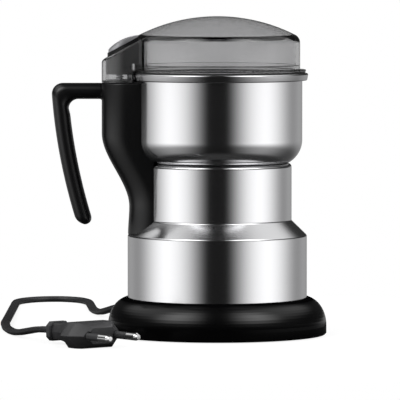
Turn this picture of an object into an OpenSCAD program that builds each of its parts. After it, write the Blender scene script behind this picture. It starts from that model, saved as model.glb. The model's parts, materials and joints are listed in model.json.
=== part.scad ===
// Electric blade coffee grinder: steel bowl and housing, black base, side handle on a hollow column,
// smoked lid with a press key over a switch, flat two-core cord with a flat two-pin plug.
// Millimetres. Z is up and is the blade axis, z = 0 is the bench, the handle points to -X, front is -Y.

/* [Base] */
// Widest diameter of the base
base_d = 120; // [116:1:130]
// Height of the base moulding
base_h = 20.5; // [18:0.5:24]
// Height of the upright lower wall of the base
base_straight = 5; // [3:0.5:6]
// Wall thickness of the base moulding
base_wall = 2.4; // [2:0.1:2.8]
// Thickness of the base's deck under the steel housing
deck_t = 2.2; // [1.6:0.1:2.6]
// Lift of the base edge off the bench
foot_lift = 0.6; // [0.4:0.1:1.6]
// Width of the rubber foot ring
foot_w = 5; // [4:0.5:6]
// Depth of the groove that holds the foot ring
foot_sink = 1; // [0.6:0.1:1.2]
// Thickness of the bottom cover
cover_t = 2.4; // [2.2:0.1:2.6]
// Number of cooling slots in the bottom cover
vent_n = 12; // [6:1:16]

/* [Housing] */
// Distance from the bowl's outer face to the lower housing's outer face
lower_step = 2.6; // [1.4:0.1:3.4]
// Outer diameter of the housing neck
neck_d = 81.6; // [80:0.2:84]
// Sheet thickness of the housing
steel_t = 0.8; // [0.6:0.1:1]
// Height of the lower housing above the base groove
lower_h = 37.4; // [34:0.2:38.6]
// Height of the sloping shoulder
shoulder_h = 8.2; // [7:0.1:10]
// Height of the neck
neck_h = 31.3; // [29:0.1:33]
// Radius of the top edge of the neck
neck_round = 2; // [1.4:0.1:2.4]

/* [Bowl] */
// Outer diameter of the bowl
bowl_d = 93.2; // [90:0.2:95]
// Sheet thickness of the bowl
bowl_t = 0.8; // [0.6:0.1:1]
// Outer radius of the bowl's bottom corner
bowl_corner = 14; // [12:0.5:16]
// Height of the bowl from its underside to the top of its rim
bowl_h = 48.7; // [46:0.1:54]
// Thickness of the rolled rim
bead_d = 4; // [3.4:0.1:4.4]
// Thickness of the gasket under the bowl
gasket_t = 0.7; // [0.5:0.1:1.2]

/* [Lid] */
// Setback of the lid's wall from the bowl's outer face
lid_inset = 1.2; // [1:0.1:2.6]
// Wall thickness of the lid
lid_t = 2; // [1.6:0.1:2.2]
// Height of the lid from its seal to the top of its dome
lid_h = 30.9; // [30:0.1:35]
// Radius of the dome
dome_r = 95; // [85:1:120]
// Radius of the edge between dome and wall
lid_round = 5; // [4:0.5:8]
// Thickness of the lid's brim
brim_t = 1.2; // [1:0.1:2.4]
// Thickness of the seal under the brim
seal_t = 0.6; // [0.5:0.1:1.4]
// Gap between seal and rim
lid_gap = 0.2; // [0.1:0.05:0.4]
// Extra thickness of the lid's wall above the brim
skirt_t = 0.6; // [0.4:0.1:1]
// Height of the thicker wall above the seal
skirt_h = 4.2; // [3:0.1:6]

/* [Key] */
// Angle of the sloping key face
key_slope = 28.2; // [22:0.1:29]
// Height of the key housing's outer wall
key_wall_h = 12.1; // [11.6:0.1:13.6]
// Height that the key stands above its housing
key_rise = 1.9; // [1.5:0.1:2.7]
// Height of the crown on the key's grip plate
crown = 1.8; // [1.2:0.1:2.4]
// Thickness of the grip plate at its ends
grip_edge = 0.9; // [0.6:0.1:1.2]
// Number of ribs across the grip plate
rib_n = 9; // [5:2:11]
// Travel of the key
key_travel = 3; // [2.4:0.1:3]
// Radius of the push rod
rod_r = 1.3; // [1.1:0.1:1.4]
// Wire thickness of the return spring
spring_wire = 0.6; // [0.5:0.05:0.7]
// Turns of the return spring
spring_turns = 5; // [4:0.5:6]

/* [Column and handle] */
// Distance from the bowl's outer face to the outer face of the column
column_reach = 16.6; // [15.4:0.2:19.4]
// Setback of the column's waist from the lower housing's outer face
column_set = 1; // [0.2:0.1:1.8]
// Flare of the column's foot
foot_flare = 0.7; // [0.2:0.1:0.8]
// Width of the column
column_w = 43.2; // [42:0.2:46]
// Radius of the column's upright edges
column_round = 14; // [12:0.5:15]
// Wall thickness of the column
column_wall = 2.5; // [2:0.1:2.6]
// Distance from the column's outer face to the outside of the handle
handle_reach = 27.5; // [22.7:0.1:36.7]
// Thickness of the handle's arm
arm_t = 8.8; // [7:0.1:11]
// Thickness of the handle's grip
grip_t = 9.1; // [7:0.1:11]
// Width of the handle
handle_w = 18; // [14:0.5:22]
// Height of the handle's lower end above the bench
grip_end = 61; // [54:1:72]
// Lean of the grip below its corner
grip_lean = 4; // [0:0.5:6]
// Radius of the grip's long curve
grip_arc = 291; // [240:1:400]

/* [Motor] */
// Length of the stator stack
stack_h = 22; // [18:1:22]
// Diameter of the armature
armature_d = 29; // [26:0.5:29]
// Diameter of the motor shaft
shaft_d = 5; // [4:0.5:5]
// Diameter of the commutator
comm_d = 19; // [17:0.5:20]
// Number of commutator bars
comm_n = 12; // [8:2:16]
// Diameter of the fan
fan_d = 48; // [40:1:56]
// Number of fan vanes
fan_n = 9; // [7:1:11]
// Tip to tip length of the blade
blade_l = 68; // [56:1:72]
// Thickness of the blade
blade_t = 1.5; // [1.2:0.1:2]

/* [Cord and plug] */
// Width of the flat cord
cord_w = 5.2; // [4.8:0.1:5.4]
// Thickness of the flat cord
cord_t = 3.4; // [3:0.1:3.5]
// Height of the cord entry above the bench
cord_z = 9.8; // [9.4:0.1:9.9]
// Length of the plug body
plug_l = 42; // [38:1:46]
// Width of the plug body
plug_w = 35.3; // [33:0.1:36]
// Thickness of the plug body
plug_t = 13.7; // [12.5:0.1:13.7]
// Length of the plug pins
pin_l = 19; // [18:0.5:19.5]
// Diameter of the plug pins
pin_d = 4; // [3.9:0.02:4.06]
// Distance between the plug pins
pin_gap = 18.6; // [17.5:0.1:19.2]

/* [Hidden] */
$fn = 96;
// fits
slide_gap = 0.3;
seat_gap = 0.1;
bush_gap = 0.04;
screw_gap = 0.1;
// radii and heights of the stack
base_r = base_d / 2;
lower_d = bowl_d + 2 * lower_step;
lower_r = lower_d / 2;
neck_r = neck_d / 2;
base_z = foot_lift;
base_top = base_z + base_h;
base_up = base_z + base_straight;
base_ce = lower_r - 1.2;
base_lip = 1.7;
crest_a = acos((lower_r + seat_gap + base_lip - base_ce) / (base_r - base_ce));
crest_z = base_up + (base_top - base_up) * sin(crest_a);
seat_z = crest_z - base_lip - 1.4;
deck_z = seat_z - deck_t;
spigot_r = lower_r - steel_t - seat_gap;
spigot_in = spigot_r - 2.2;
cover_z = base_z + 1;
cover_top = cover_z + cover_t;
cover_r = base_r - base_wall - slide_gap;
boss_at = base_r - base_wall - 4.2;
boss_r = 3.4;
boss_angles = [30, 150, 270];
cover_screw_r = 1.4;
cover_head_r = 2.6;
cover_head_h = 1.2;
cover_screw_l = 7.6;
foot_out = boss_at - cover_head_r - 1.2;
foot_in = foot_out - foot_w;
shoulder_z = seat_z + lower_h;
neck_z = shoulder_z + shoulder_h;
housing_top = neck_z + neck_h;
bowl_r = bowl_d / 2;
bowl_z = housing_top + gasket_t;
bowl_floor = bowl_z + bowl_t;
rim_top = bowl_z + bowl_h;
bead_r = bead_d / 2;
bead_at = bowl_r - 0.6 + bead_r;
rim_out = bead_at + bead_r;
lid_z = rim_top + lid_gap;
brim_z = lid_z + seal_t;
lid_d = bowl_d - 2 * lid_inset;
lid_r = lid_d / 2;
brim_r = rim_out - 1.4;
spigot_lid_r = min(lid_r, bowl_r - bowl_t - 0.6);
skirt_in = spigot_lid_r - lid_t - skirt_t;
lid_top = lid_z + lid_h;
dome_z = lid_top - dome_r;
lid_fillet_z = dome_z + sqrt(pow(dome_r - lid_round, 2) - pow(lid_r - lid_round, 2));
// column and key places
column_out = bowl_r + column_reach;
column_low = lower_r - column_set;
handle_out = column_out + handle_reach;
column_gap = 1.2;
column_top = rim_top - bead_d - column_gap;
s_low = neck_z + 8;
s_high = housing_top + 16.7;
foot_of_column = shoulder_z + 0.9;
ext_z = column_top + slide_gap;
slope_z = ext_z + key_wall_h;
lip_t = 1.5;
lip_w = 0.9;
retainer_t = 1.2;
key_z = ext_z + retainer_t + key_travel + slide_gap;
rod_x = -(rim_out + 3.6);
rod_end = column_top - 5;
collar_z = ext_z + retainer_t + 7.6;
spring_r = rod_r + 0.4 + spring_wire / 2;
collar_r = spring_r + spring_wire / 2 + 0.2;
collar_t = 1;
rod_head = slope_z + (column_out + rod_x) * tan(key_slope) - 1.6;
ext_back = sqrt(pow(lid_r, 2) - pow(column_w / 2, 2)) - 3;
key_back = sqrt(pow(lid_r + 1, 2) - pow(column_w / 2 - lid_t - lip_w, 2)) + 0.4;
// switch
switch_l = 27.8;
switch_w = 10.3;
switch_h = 15.9;
switch_x = -(bowl_r + 1.4 + switch_w / 2);
switch_arm = 11.5;
lever_t = 0.5;
lever_rest = 16.2;
lever_w = 4;
pivot_r = 0.45;
lever_z = rod_end - 0.15 - (switch_arm + rod_r) * tan(lever_rest) - lever_t / cos(lever_rest);
pivot_rise = 0.8;
switch_top = lever_z - pivot_rise;
switch_hole = 11.1;
button_at = 4.2;
button_r = 1.1;
button_rise = (button_at - button_r) * tan(lever_rest) + pivot_rise - 0.15;
// motor levels
shaft_r = shaft_d / 2;
deck_under = housing_top - steel_t;
bracket_t = 4;
bracket_z = deck_under - bracket_t;
bracket_r = 33;
leg_w = 8;
leg_l = 24;
hub_drop = 6;
coil_room = 11;
stator_top = bracket_z - coil_room;
stator_z = stator_top - stack_h;
stator_x = 29;
stator_y = 23;
bore_r = armature_d / 2 + 0.5;
yoke_x = 21;
slot_y = 17.5;
coil_in = 13.5;
coil_w = 7.3;
coil_t = 8;
coil_end = 5.5;
coil_deep = 6;
bolt_x = 25;
bolt_y = 8;
bolt_r = 1.6;
comm_room = 23;
lower_z = stator_z - comm_room;
winding_h = 4.6;
comm_drop = 14;
brush_drop = 9.5;
brush_z = stator_z - brush_drop;
brush_l = 13;
brush_w = 6;
brush_h = 5;
brush_bed = 1.4;
holder_t = 0.6;
holder_l = 20.5;
holder_gap = 2.5;
brush_end = comm_d / 2 - brush_bed + brush_l;
holder_end = comm_d / 2 + holder_gap + holder_l - 2 * holder_t;
bush_r = 6;
hub_r = 9.5;
stud_x = 13;
stud_y = 22.5;
stud_r = 2;
seal_r = 7;
blade_lift = 5.4;
blade_z = bowl_floor + blade_lift;
blade_bend = 12;
blade_hub_r = 8;
blade_long_w = 11;
blade_short_w = 10;
blade_cut = 5;
blade_up = 14;
blade_down = -4;
spacer_r = 5;
spacer_h = 2.2;
fan_drop = 12;
fan_z = lower_z - fan_drop;
fan_hub_r = 6;
fan_h = 8;
fan_plate = 1.4;
vane_t = 1.4;
// cord and plug
cord_angle = 120;
gland_end = base_r + 26;
gland_at = base_r - base_wall - 4;
plug_at = [-87, -54, plug_t / 2 + 0.05];
plug_angle = -51.7;
plug_neck_t = 8.8;
plug_slot = [5.4, 1.3, 5.6, 1.2];
sleeve_l = 10;
pin_core_d = pin_d - 1;
pin_root = 6;
pin_tip = 2;
floor_z = cord_t / 2 + 0.1;
route = [
  [gland_end * cos(cord_angle), gland_end * sin(cord_angle), cord_z],
  [-50, 86.5, 9.2],
  [-57, 99, 7.2],
  [-63, 112, 4.4],
  [-67, 126, 2.4],
  [-70, 140, floor_z],
  [-72, 154, floor_z],
  [-73, 168, floor_z],
  [-74, 182, floor_z],
  [-75, 196, floor_z],
  [-77, 209, floor_z],
  [-82, 221, floor_z],
  [-92, 229, floor_z],
  [-104, 228, floor_z],
  [-113, 220, floor_z],
  [-118, 208, floor_z],
  [-119, 194, floor_z],
  [-119, 180, floor_z],
  [-119, 166, floor_z],
  [-119, 152, floor_z],
  [-119, 138, floor_z],
  [-119, 124, floor_z],
  [-119, 110, floor_z],
  [-119, 96, floor_z],
  [-119, 82, floor_z],
  [-119, 68, floor_z],
  [-119, 54, floor_z],
  [-118, 40, floor_z],
  [-117, 26, floor_z],
  [-115, 12, floor_z],
  [-112, -2, floor_z],
  [-108, -15, 2.6],
  [-103, -28, 4.4],
  [-96, -41, 6.4],
  plug_at
];

// points of an arc
function arc(c, r, a0, a1, n) = [for (i = [0:n]) let (a = a0 + (a1 - a0) * i / n) c + r * [cos(a), sin(a)]];
function unit(v) = v / norm(v);
// a corner of an outline rounded by an arc
function fillet(p, q, s, r, n) =
  let (u = unit(p - q), v = unit(s - q), h = acos(u * v) / 2)
  let (c = q + unit(u + v) * r / sin(h), a = q + u * r / tan(h) - c, b = q + v * r / tan(h) - c)
  let (a0 = atan2(a.y, a.x), t = atan2(b.y, b.x) - a0, d = t > 180 ? t - 360 : t < -180 ? t + 360 : t)
  arc(c, r, a0, a0 + d, n);
function rounded(pts, rad, n = 6) =
  [for (i = [0:len(pts) - 1])
    each rad[i] > 0 ? fillet(pts[i - 1], pts[i], pts[i + 1], rad[i], n) : [pts[i]]];
// smooth step from 0 to 1
function ease(t) = let (c = min(1, max(0, t))) c * c * (3 - 2 * c);

// a solid between rings of points
module loft(rings) {
  n = len(rings[0]);
  m = len(rings);
  polyhedron(
    points = [for (r = rings) each r],
    faces = concat(
      [[for (j = [0:n - 1]) j]],
      [[for (j = [n - 1:-1:0]) (m - 1) * n + j]],
      [for (i = [0:m - 2], j = [0:n - 1]) [i * n + j, (i + 1) * n + j, (i + 1) * n + (j + 1) % n]],
      [for (i = [0:m - 2], j = [0:n - 1]) [i * n + j, (i + 1) * n + (j + 1) % n, i * n + (j + 1) % n]]
    )
  );
}
module ring(r0, r1, z, h) {
  difference() {
    translate([0, 0, z]) cylinder(r = r1, h = h);
    translate([0, 0, z - 1]) cylinder(r = r0, h = h + 2);
  }
}
module radial(a, r, z) {
  rotate([0, 0, a]) translate([r, 0, z]) rotate([0, 90, 0]) rotate([0, 0, 90]) children();
}
module at_bosses() {
  for (a = boss_angles) rotate([0, 0, a]) translate([boss_at, 0, 0]) children();
}

// base
function base_curve(a, w) =
  [base_ce + (base_r - base_ce - w) * cos(a), base_up + (base_top - base_up - w) * sin(a)];
module foot_ring() {
  color("#151515") ring(foot_in, foot_out, 0, cover_z + foot_sink);
}
module base_profile() {
  in_a = asin((deck_z - base_up) / (base_top - base_up - base_wall));
  polygon(concat(
    [[base_r - base_wall, base_z], [base_r - 0.8, base_z], [base_r, base_z + 0.8]],
    [for (i = [0:12]) base_curve(crest_a * i / 12, 0)],
    arc([lower_r + seat_gap + base_lip, crest_z - base_lip], base_lip, 100, 180, 5),
    [[lower_r + seat_gap, seat_z], [spigot_r, seat_z], [spigot_r, crest_z + 2], [spigot_in, crest_z + 2],
      [spigot_in, deck_z]],
    [for (i = [8:-1:0]) base_curve(in_a * i / 8, base_wall)]
  ));
}
module base_shell() {
  color("#0c0c0d") difference() {
    union() {
      rotate_extrude() base_profile();
      at_bosses() translate([0, 0, cover_top]) cylinder(r = boss_r, h = deck_z - cover_top + 0.4);
      rotate([0, 0, cord_angle]) {
        translate([gland_at, -6.5, cover_top + 0.3]) cube([4.4, 13, deck_z - cover_top]);
        translate([spigot_in + 0.3, -8, cord_z + cord_t / 2])
          cube([4, 16, deck_z - cord_z - cord_t / 2 + 0.4]);
      }
    }
    at_bosses() translate([0, 0, cover_top - 1])
      cylinder(r = cover_screw_r + screw_gap, h = cover_screw_l + 2);
    radial(cord_angle, gland_at - 1, cord_z) cylinder(r = 4 + screw_gap, h = 12);
    rotate([0, 0, cord_angle]) for (s = [-1, 1])
      translate([spigot_in + 2.3, s * 5.6, cord_z]) cylinder(r = 1.2 + screw_gap, h = 4.2);
  }
}
module bottom_cover() {
  color("#101011") difference() {
    translate([0, 0, cover_z]) cylinder(r = cover_r, h = cover_t);
    ring(foot_in - seat_gap, foot_out + seat_gap, cover_z - 1, foot_sink + 1);
    at_bosses() {
      translate([0, 0, cover_z - 1]) cylinder(r = cover_screw_r + 2 * screw_gap, h = cover_t + 2);
      translate([0, 0, cover_z - 1]) cylinder(r = cover_head_r + 0.2, h = cover_head_h + 1);
    }
    for (i = [0:vent_n - 1]) rotate([0, 0, i * 360 / vent_n]) {
      translate([16, -1.4, cover_z - 1]) cube([16, 2.8, cover_t + 2]);
      for (x = [16, 32]) translate([x, 0, cover_z - 1]) cylinder(r = 1.4, h = cover_t + 2);
    }
  }
}
module cross_head(r, h) {
  difference() {
    cylinder(r = r, h = h);
    for (a = [0, 90]) rotate([0, 0, a]) translate([-r * 0.6, -0.3, -1]) cube([r * 1.2, 0.6, 1.7]);
  }
}
module cover_screws() {
  color("#a8a8a8") at_bosses() translate([0, 0, cover_z]) {
    cross_head(cover_head_r, cover_head_h);
    translate([0, 0, cover_head_h]) cylinder(r = cover_screw_r, h = cover_screw_l);
  }
}

// housing
function housing_path() = rounded(
  [[lower_r, seat_z], [lower_r, shoulder_z], [neck_r, neck_z], [neck_r, housing_top], [24, housing_top]],
  [0, 1.4, 1.4, neck_round, 0]);
function housing_inside() =
  let (d = steel_t * tan(atan2(lower_r - neck_r, shoulder_h) / 2), t = steel_t)
  rounded(
    [[24, housing_top - t], [neck_r - t, housing_top - t], [neck_r - t, neck_z - d],
      [lower_r - t, shoulder_z - d], [lower_r - t, seat_z]],
    [0, neck_round - t, 1.4 + t, 1.4 - t, 0]);
module housing_outer() {
  rotate_extrude() polygon(concat([[0, seat_z]], housing_path(), [[0, housing_top]]));
}
module at_studs() {
  for (x = [-stud_x, stud_x], y = [-stud_y, stud_y]) translate([x, y, 0]) children();
}
column_screw_z = [neck_z + 7, neck_z + neck_h - 8];
module housing_shell() {
  color("#c9cacb") difference() {
    rotate_extrude() polygon(concat(housing_path(), housing_inside()));
    at_studs() translate([0, 0, deck_under - 1]) cylinder(r = stud_r + 0.2, h = 4);
    for (z = column_screw_z) translate([-neck_r - 2, 0, z]) rotate([0, 90, 0]) cylinder(r = 1.7, h = 6);
    translate([-neck_r - 2, 10, neck_z + 9]) rotate([0, 90, 0]) cylinder(r = 3, h = 8);
  }
}

// bowl
module cup(r, c, z0, z1) {
  translate([0, z0]) square([r - c, z1 - z0]);
  translate([0, z0 + c]) square([r, z1 - z0 - c]);
  intersection() {
    translate([r - c, z0 + c]) circle(c);
    translate([0, z0]) square([r, z1 - z0]);
  }
}
module bowl_gasket() {
  color("#1b1b1b") difference() {
    rotate_extrude() difference() {
      translate([20, housing_top]) square([neck_r - neck_round - 0.4 - 20, gasket_t + 0.9]);
      cup(bowl_r, bowl_corner, bowl_z, rim_top);
    }
    at_studs() translate([0, 0, housing_top - 1]) cylinder(r = stud_r + 0.2, h = 4);
  }
}
module bowl() {
  color("#d2d3d4") union() {
    rotate_extrude() {
      difference() {
        cup(bowl_r, bowl_corner, bowl_z, rim_top - bead_r + 0.5);
        cup(bowl_r - bowl_t, bowl_corner - bowl_t, bowl_floor, rim_top + 1);
        translate([0, bowl_z - 1]) square([seal_r + seat_gap, bowl_t + 2]);
      }
      translate([bead_at, rim_top - bead_r]) circle(bead_r);
      translate([bowl_r - bowl_t, rim_top - bead_r - 0.5]) square([bead_r, 1]);
    }
    at_studs() translate([0, 0, bracket_z - 4]) cylinder(r = stud_r, h = bowl_z - bracket_z + 4.2);
  }
}
module bowl_nuts() {
  color("#b0b0b0") at_studs() translate([0, 0, bracket_z - 3.2]) difference() {
    cylinder(d = 8.1, h = 3.2, $fn = 6);
    translate([0, 0, -1]) cylinder(r = stud_r + 0.05, h = 6);
  }
}
module shaft_seal() {
  color("#2a2a2c") difference() {
    union() {
      translate([0, 0, bracket_z + 2]) cylinder(r = seal_r, h = bowl_floor - bracket_z - 2);
      translate([0, 0, bowl_floor]) cylinder(r1 = 11, r2 = 8, h = 2.6);
    }
    translate([0, 0, bracket_z]) cylinder(r = shaft_r + 0.4, h = 20);
  }
}

// motor
module at_bolts() {
  for (x = [-bolt_x, bolt_x], y = [-bolt_y, bolt_y]) translate([x, y, 0]) children();
}
module upper_bracket() {
  color("#8f9295") difference() {
    union() {
      translate([0, 0, bracket_z]) cylinder(r = bracket_r, h = bracket_t);
      translate([0, 0, bracket_z - hub_drop]) cylinder(r = hub_r, h = hub_drop + 1);
      for (s = [-1, 1]) translate([s * bolt_x - leg_w / 2, -leg_l / 2, stator_top])
        cube([leg_w, leg_l, coil_room + 1]);
    }
    translate([0, 0, bracket_z - hub_drop - 1]) cylinder(r = bush_r, h = hub_drop + 3);
    translate([0, 0, bracket_z + 1]) cylinder(r = seal_r - 2, h = 1.5);
    translate([0, 0, bracket_z + 2]) cylinder(r = seal_r + seat_gap, h = 4);
    at_bolts() translate([0, 0, stator_top - 1]) cylinder(r = bolt_r + screw_gap, h = 10);
    at_studs() translate([0, 0, bracket_z - 1]) cylinder(r = stud_r + 0.2, h = 6);
  }
}
module upper_bearing() {
  color("#b08d57") ring(shaft_r + bush_gap, bush_r, bracket_z - 5.4, 7.4);
}
module stator_core() {
  color("#6c6e70") translate([0, 0, stator_z]) difference() {
    translate([-stator_x, -stator_y, 0]) cube([2 * stator_x, 2 * stator_y, stack_h]);
    translate([0, 0, -1]) cylinder(r = bore_r, h = stack_h + 2);
    for (s = [-1, 1]) translate([s * (yoke_x + coil_in) / 2 - (yoke_x - coil_in) / 2, -slot_y, -1])
      cube([yoke_x - coil_in, 2 * slot_y, stack_h + 2]);
    at_bolts() translate([0, 0, -1]) cylinder(r = bolt_r + screw_gap, h = stack_h + 2);
  }
}
module field_coils() {
  coil_out = coil_in + coil_w;
  color("#b5642d") for (s = [0, 180]) rotate([0, 0, s]) {
    for (x = [-coil_out, coil_in]) translate([x, slot_y - coil_t, stator_z]) cube([coil_w, coil_t, stack_h]);
    for (z = [stator_z - coil_end, stator_top]) translate([-coil_out, bore_r, z])
      cube([2 * coil_out, coil_deep, coil_end]);
  }
}
module lower_bracket() {
  color("#3a3a3c") difference() {
    union() {
      for (s = [-1, 1]) translate([s * bolt_x - leg_w / 2, -leg_l / 2, lower_z])
        cube([leg_w, leg_l, comm_room]);
      translate([-bolt_x - leg_w / 2, -leg_l / 2, lower_z]) cube([2 * bolt_x + leg_w, leg_l, bracket_t]);
      translate([0, 0, lower_z - 3]) cylinder(r = hub_r, h = 11);
    }
    translate([0, 0, lower_z - 1.5]) cylinder(r = bush_r, h = 12);
    translate([0, 0, lower_z - 4]) cylinder(r = shaft_r + 1, h = 4);
    at_bolts() translate([0, 0, lower_z - 1]) cylinder(r = bolt_r + screw_gap, h = 30);
    for (x = [-bolt_x, bolt_x])
      translate([x - leg_w, -brush_w / 2 - holder_t, brush_z - brush_h / 2 - holder_t])
        cube([2 * leg_w, brush_w + 2 * holder_t, brush_h + 2 * holder_t]);
  }
}
module lower_bearing() {
  color("#b08d57") ring(shaft_r + bush_gap, bush_r, lower_z - 1.5, 9);
}
module motor_screws() {
  color("#9c9c9c") at_bolts() {
    translate([0, 0, lower_z - 2]) cross_head(2.9, 2);
    translate([0, 0, lower_z]) cylinder(r = bolt_r, h = stator_top - lower_z + 8.4);
  }
}
module brush_holders() {
  color("#c8a24a") for (s = [0, 180]) rotate([0, 0, s]) difference() {
    translate([comm_d / 2 + holder_gap, -brush_w / 2 - holder_t, brush_z - brush_h / 2 - holder_t])
      cube([holder_l, brush_w + 2 * holder_t, brush_h + 2 * holder_t]);
    translate([0, -brush_w / 2, brush_z - brush_h / 2]) cube([holder_end, brush_w, brush_h]);
  }
}
module carbon_brushes() {
  color("#222222") for (s = [0, 180]) rotate([0, 0, s]) difference() {
    translate([brush_end - brush_l, -brush_w / 2, brush_z - brush_h / 2]) cube([brush_l, brush_w, brush_h]);
    translate([0, 0, brush_z - 9]) cylinder(r = comm_d / 2 + slide_gap, h = 18);
  }
}
// one unbroken wire wound along Z
function coil_point(r, h, turns, w, t) =
  [r * cos(360 * turns * t), r * sin(360 * turns * t), w / 2 + (h - w) * t];
module wound(r, h, turns, w) {
  n = ceil(turns * 8);
  slope = atan2(h - w, 2 * PI * r * turns);
  loft([for (i = [0:n]) let (t = i / n, a = 360 * turns * t, c = coil_point(r, h, turns, w, t))
    [for (k = [0:5]) let (b = -k * 60)
      c + w / 2 * (cos(b) * [cos(a), sin(a), 0]
        + sin(b) * [sin(a) * sin(slope), -cos(a) * sin(slope), cos(slope)])]]);
}
module brush_springs() {
  color("#c0c0c0") for (s = [0, 180])
    rotate([0, 0, s]) translate([brush_end, 0, brush_z]) rotate([0, 90, 0])
      wound(1.9, holder_end - brush_end, 6, 0.5);
}
module motor_shaft() {
  color("#bfc1c3") translate([0, 0, fan_z - 1])
    cylinder(r = shaft_r, h = blade_z + blade_t + 3.4 - fan_z + 1);
}
module armature_core() {
  color("#77797b") translate([0, 0, stator_z]) difference() {
    cylinder(d = armature_d, h = stack_h);
    translate([0, 0, -1]) cylinder(r = shaft_r, h = stack_h + 2);
    for (i = [0:11]) rotate([0, 0, i * 30]) translate([armature_d / 2 - 4.4, -0.9, -1])
      cube([6, 1.8, stack_h + 2]);
  }
}
module armature_winding() {
  color("#b5642d") rotate_extrude() {
    for (z = [stator_z - winding_h, stator_top]) difference() {
      translate([shaft_r + 0.6, z]) square([armature_d / 2 - shaft_r - 2, winding_h]);
      for (y = [z - 0.01, z + winding_h + 0.01])
        if (y < stator_z || y > stator_top) translate([armature_d / 2 - 1.4, y]) circle(1.6);
    }
  }
}
module commutator() {
  color("#b87848") difference() {
    translate([0, 0, stator_z - comm_drop]) cylinder(d = comm_d, h = comm_drop - winding_h);
    translate([0, 0, stator_z - comm_drop - 1]) cylinder(r = shaft_r, h = comm_drop);
    for (i = [0:comm_n - 1]) rotate([0, 0, i * 360 / comm_n])
      translate([comm_d / 2 - 1.2, -0.25, stator_z - comm_drop - 1]) cube([3, 0.5, comm_drop]);
  }
}
module cooling_fan() {
  color("#28282a") difference() {
    union() {
      translate([0, 0, fan_z]) cylinder(r = fan_hub_r, h = fan_h);
      translate([0, 0, fan_z + fan_h - fan_plate]) cylinder(d = fan_d, h = fan_plate);
      for (i = [0:fan_n - 1]) rotate([0, 0, i * 360 / fan_n])
        translate([fan_hub_r - 1, -vane_t / 2, fan_z]) cube([fan_d / 2 - fan_hub_r, vane_t, fan_h - 1]);
    }
    translate([0, 0, fan_z - 1]) cylinder(r = shaft_r, h = fan_h + 2);
  }
}

// blade
module blade_spacer() {
  color("#d0d0d0") ring(shaft_r, spacer_r, blade_z - spacer_h, spacer_h);
}
// an arm beyond its bend: sloping plate, slanted tip and ground edge
module blade_arm(l, w, tilt) {
  rise = (l - blade_bend) * tan(tilt);
  grind = 36;
  land = 0.35;
  tip = 4;
  difference() {
    intersection() {
      rotate([90, 0, 0]) translate([0, 0, -w / 2]) linear_extrude(w)
        polygon([[blade_bend, 0], [l, rise], [l, rise + blade_t], [blade_bend, blade_t]]);
      translate([0, 0, -l]) linear_extrude(2 * l)
        polygon([[0, -w], [l - tip, -w], [l - tip, -w / 2], [l, w / 4], [l - tip / 2, w / 2],
          [l - tip / 2, w], [0, w]]);
    }
    translate([blade_bend, 0, 0]) rotate([0, -tilt, 0]) translate([3, -w / 2, land]) rotate([grind, 0, 0])
      translate([0, -3, 0]) cube([l, 9, 5]);
  }
}
blade_long = [blade_l / 2, blade_long_w, blade_up];
blade_short = [blade_l / 2 - blade_cut, blade_short_w, blade_down];
blade_arms = [[20, blade_long], [110, blade_short], [200, blade_long], [290, blade_short]];
module blade() {
  color("#dcdcdc") translate([0, 0, blade_z]) {
    linear_extrude(blade_t) difference() {
      union() {
        circle(r = blade_hub_r);
        for (b = blade_arms) rotate([0, 0, b[0]]) translate([0, -b[1][1] / 2]) square([blade_bend, b[1][1]]);
      }
      circle(r = shaft_r);
    }
    for (b = blade_arms) rotate([0, 0, b[0]]) blade_arm(b[1][0], b[1][1], b[1][2]);
  }
}
module blade_nut() {
  color("#d8d8d8") translate([0, 0, blade_z + blade_t]) difference() {
    union() {
      cylinder(d = 9.2, h = 4, $fn = 6);
      intersection() {
        translate([0, 0, 2.4]) sphere(r = 3.9);
        translate([-5, -5, 3]) cube([10, 10, 6]);
      }
    }
    translate([0, 0, -1]) cylinder(r = shaft_r, h = 4.4);
  }
}

// column and handle
function column_x(z) = column_low + (column_out - column_low) * ease((z - s_low) / (s_high - s_low))
  + foot_flare * ease((s_low - z) / (s_low - foot_of_column));
function column_ring(z, inset, n) =
  let (r = column_round - inset, w = column_w / 2 - inset, x = column_x(z) - inset, b = inset - 28)
  [for (p = concat(
    [[b, w]], arc([r - x, w - r], r, 90, 180, n), arc([r - x, r - w], r, 180, 270, n), [[b, -w]]))
    [p.x, p.y, z]];
module column_body(z0, z1, inset, n) {
  zs = concat(
    [for (i = [0:3]) z0 + (s_low - z0) * i / 4],
    [for (i = [0:11]) s_low + (s_high - s_low) * i / 11], [z1]);
  loft([for (z = zs) column_ring(z, inset, n)]);
}
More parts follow.
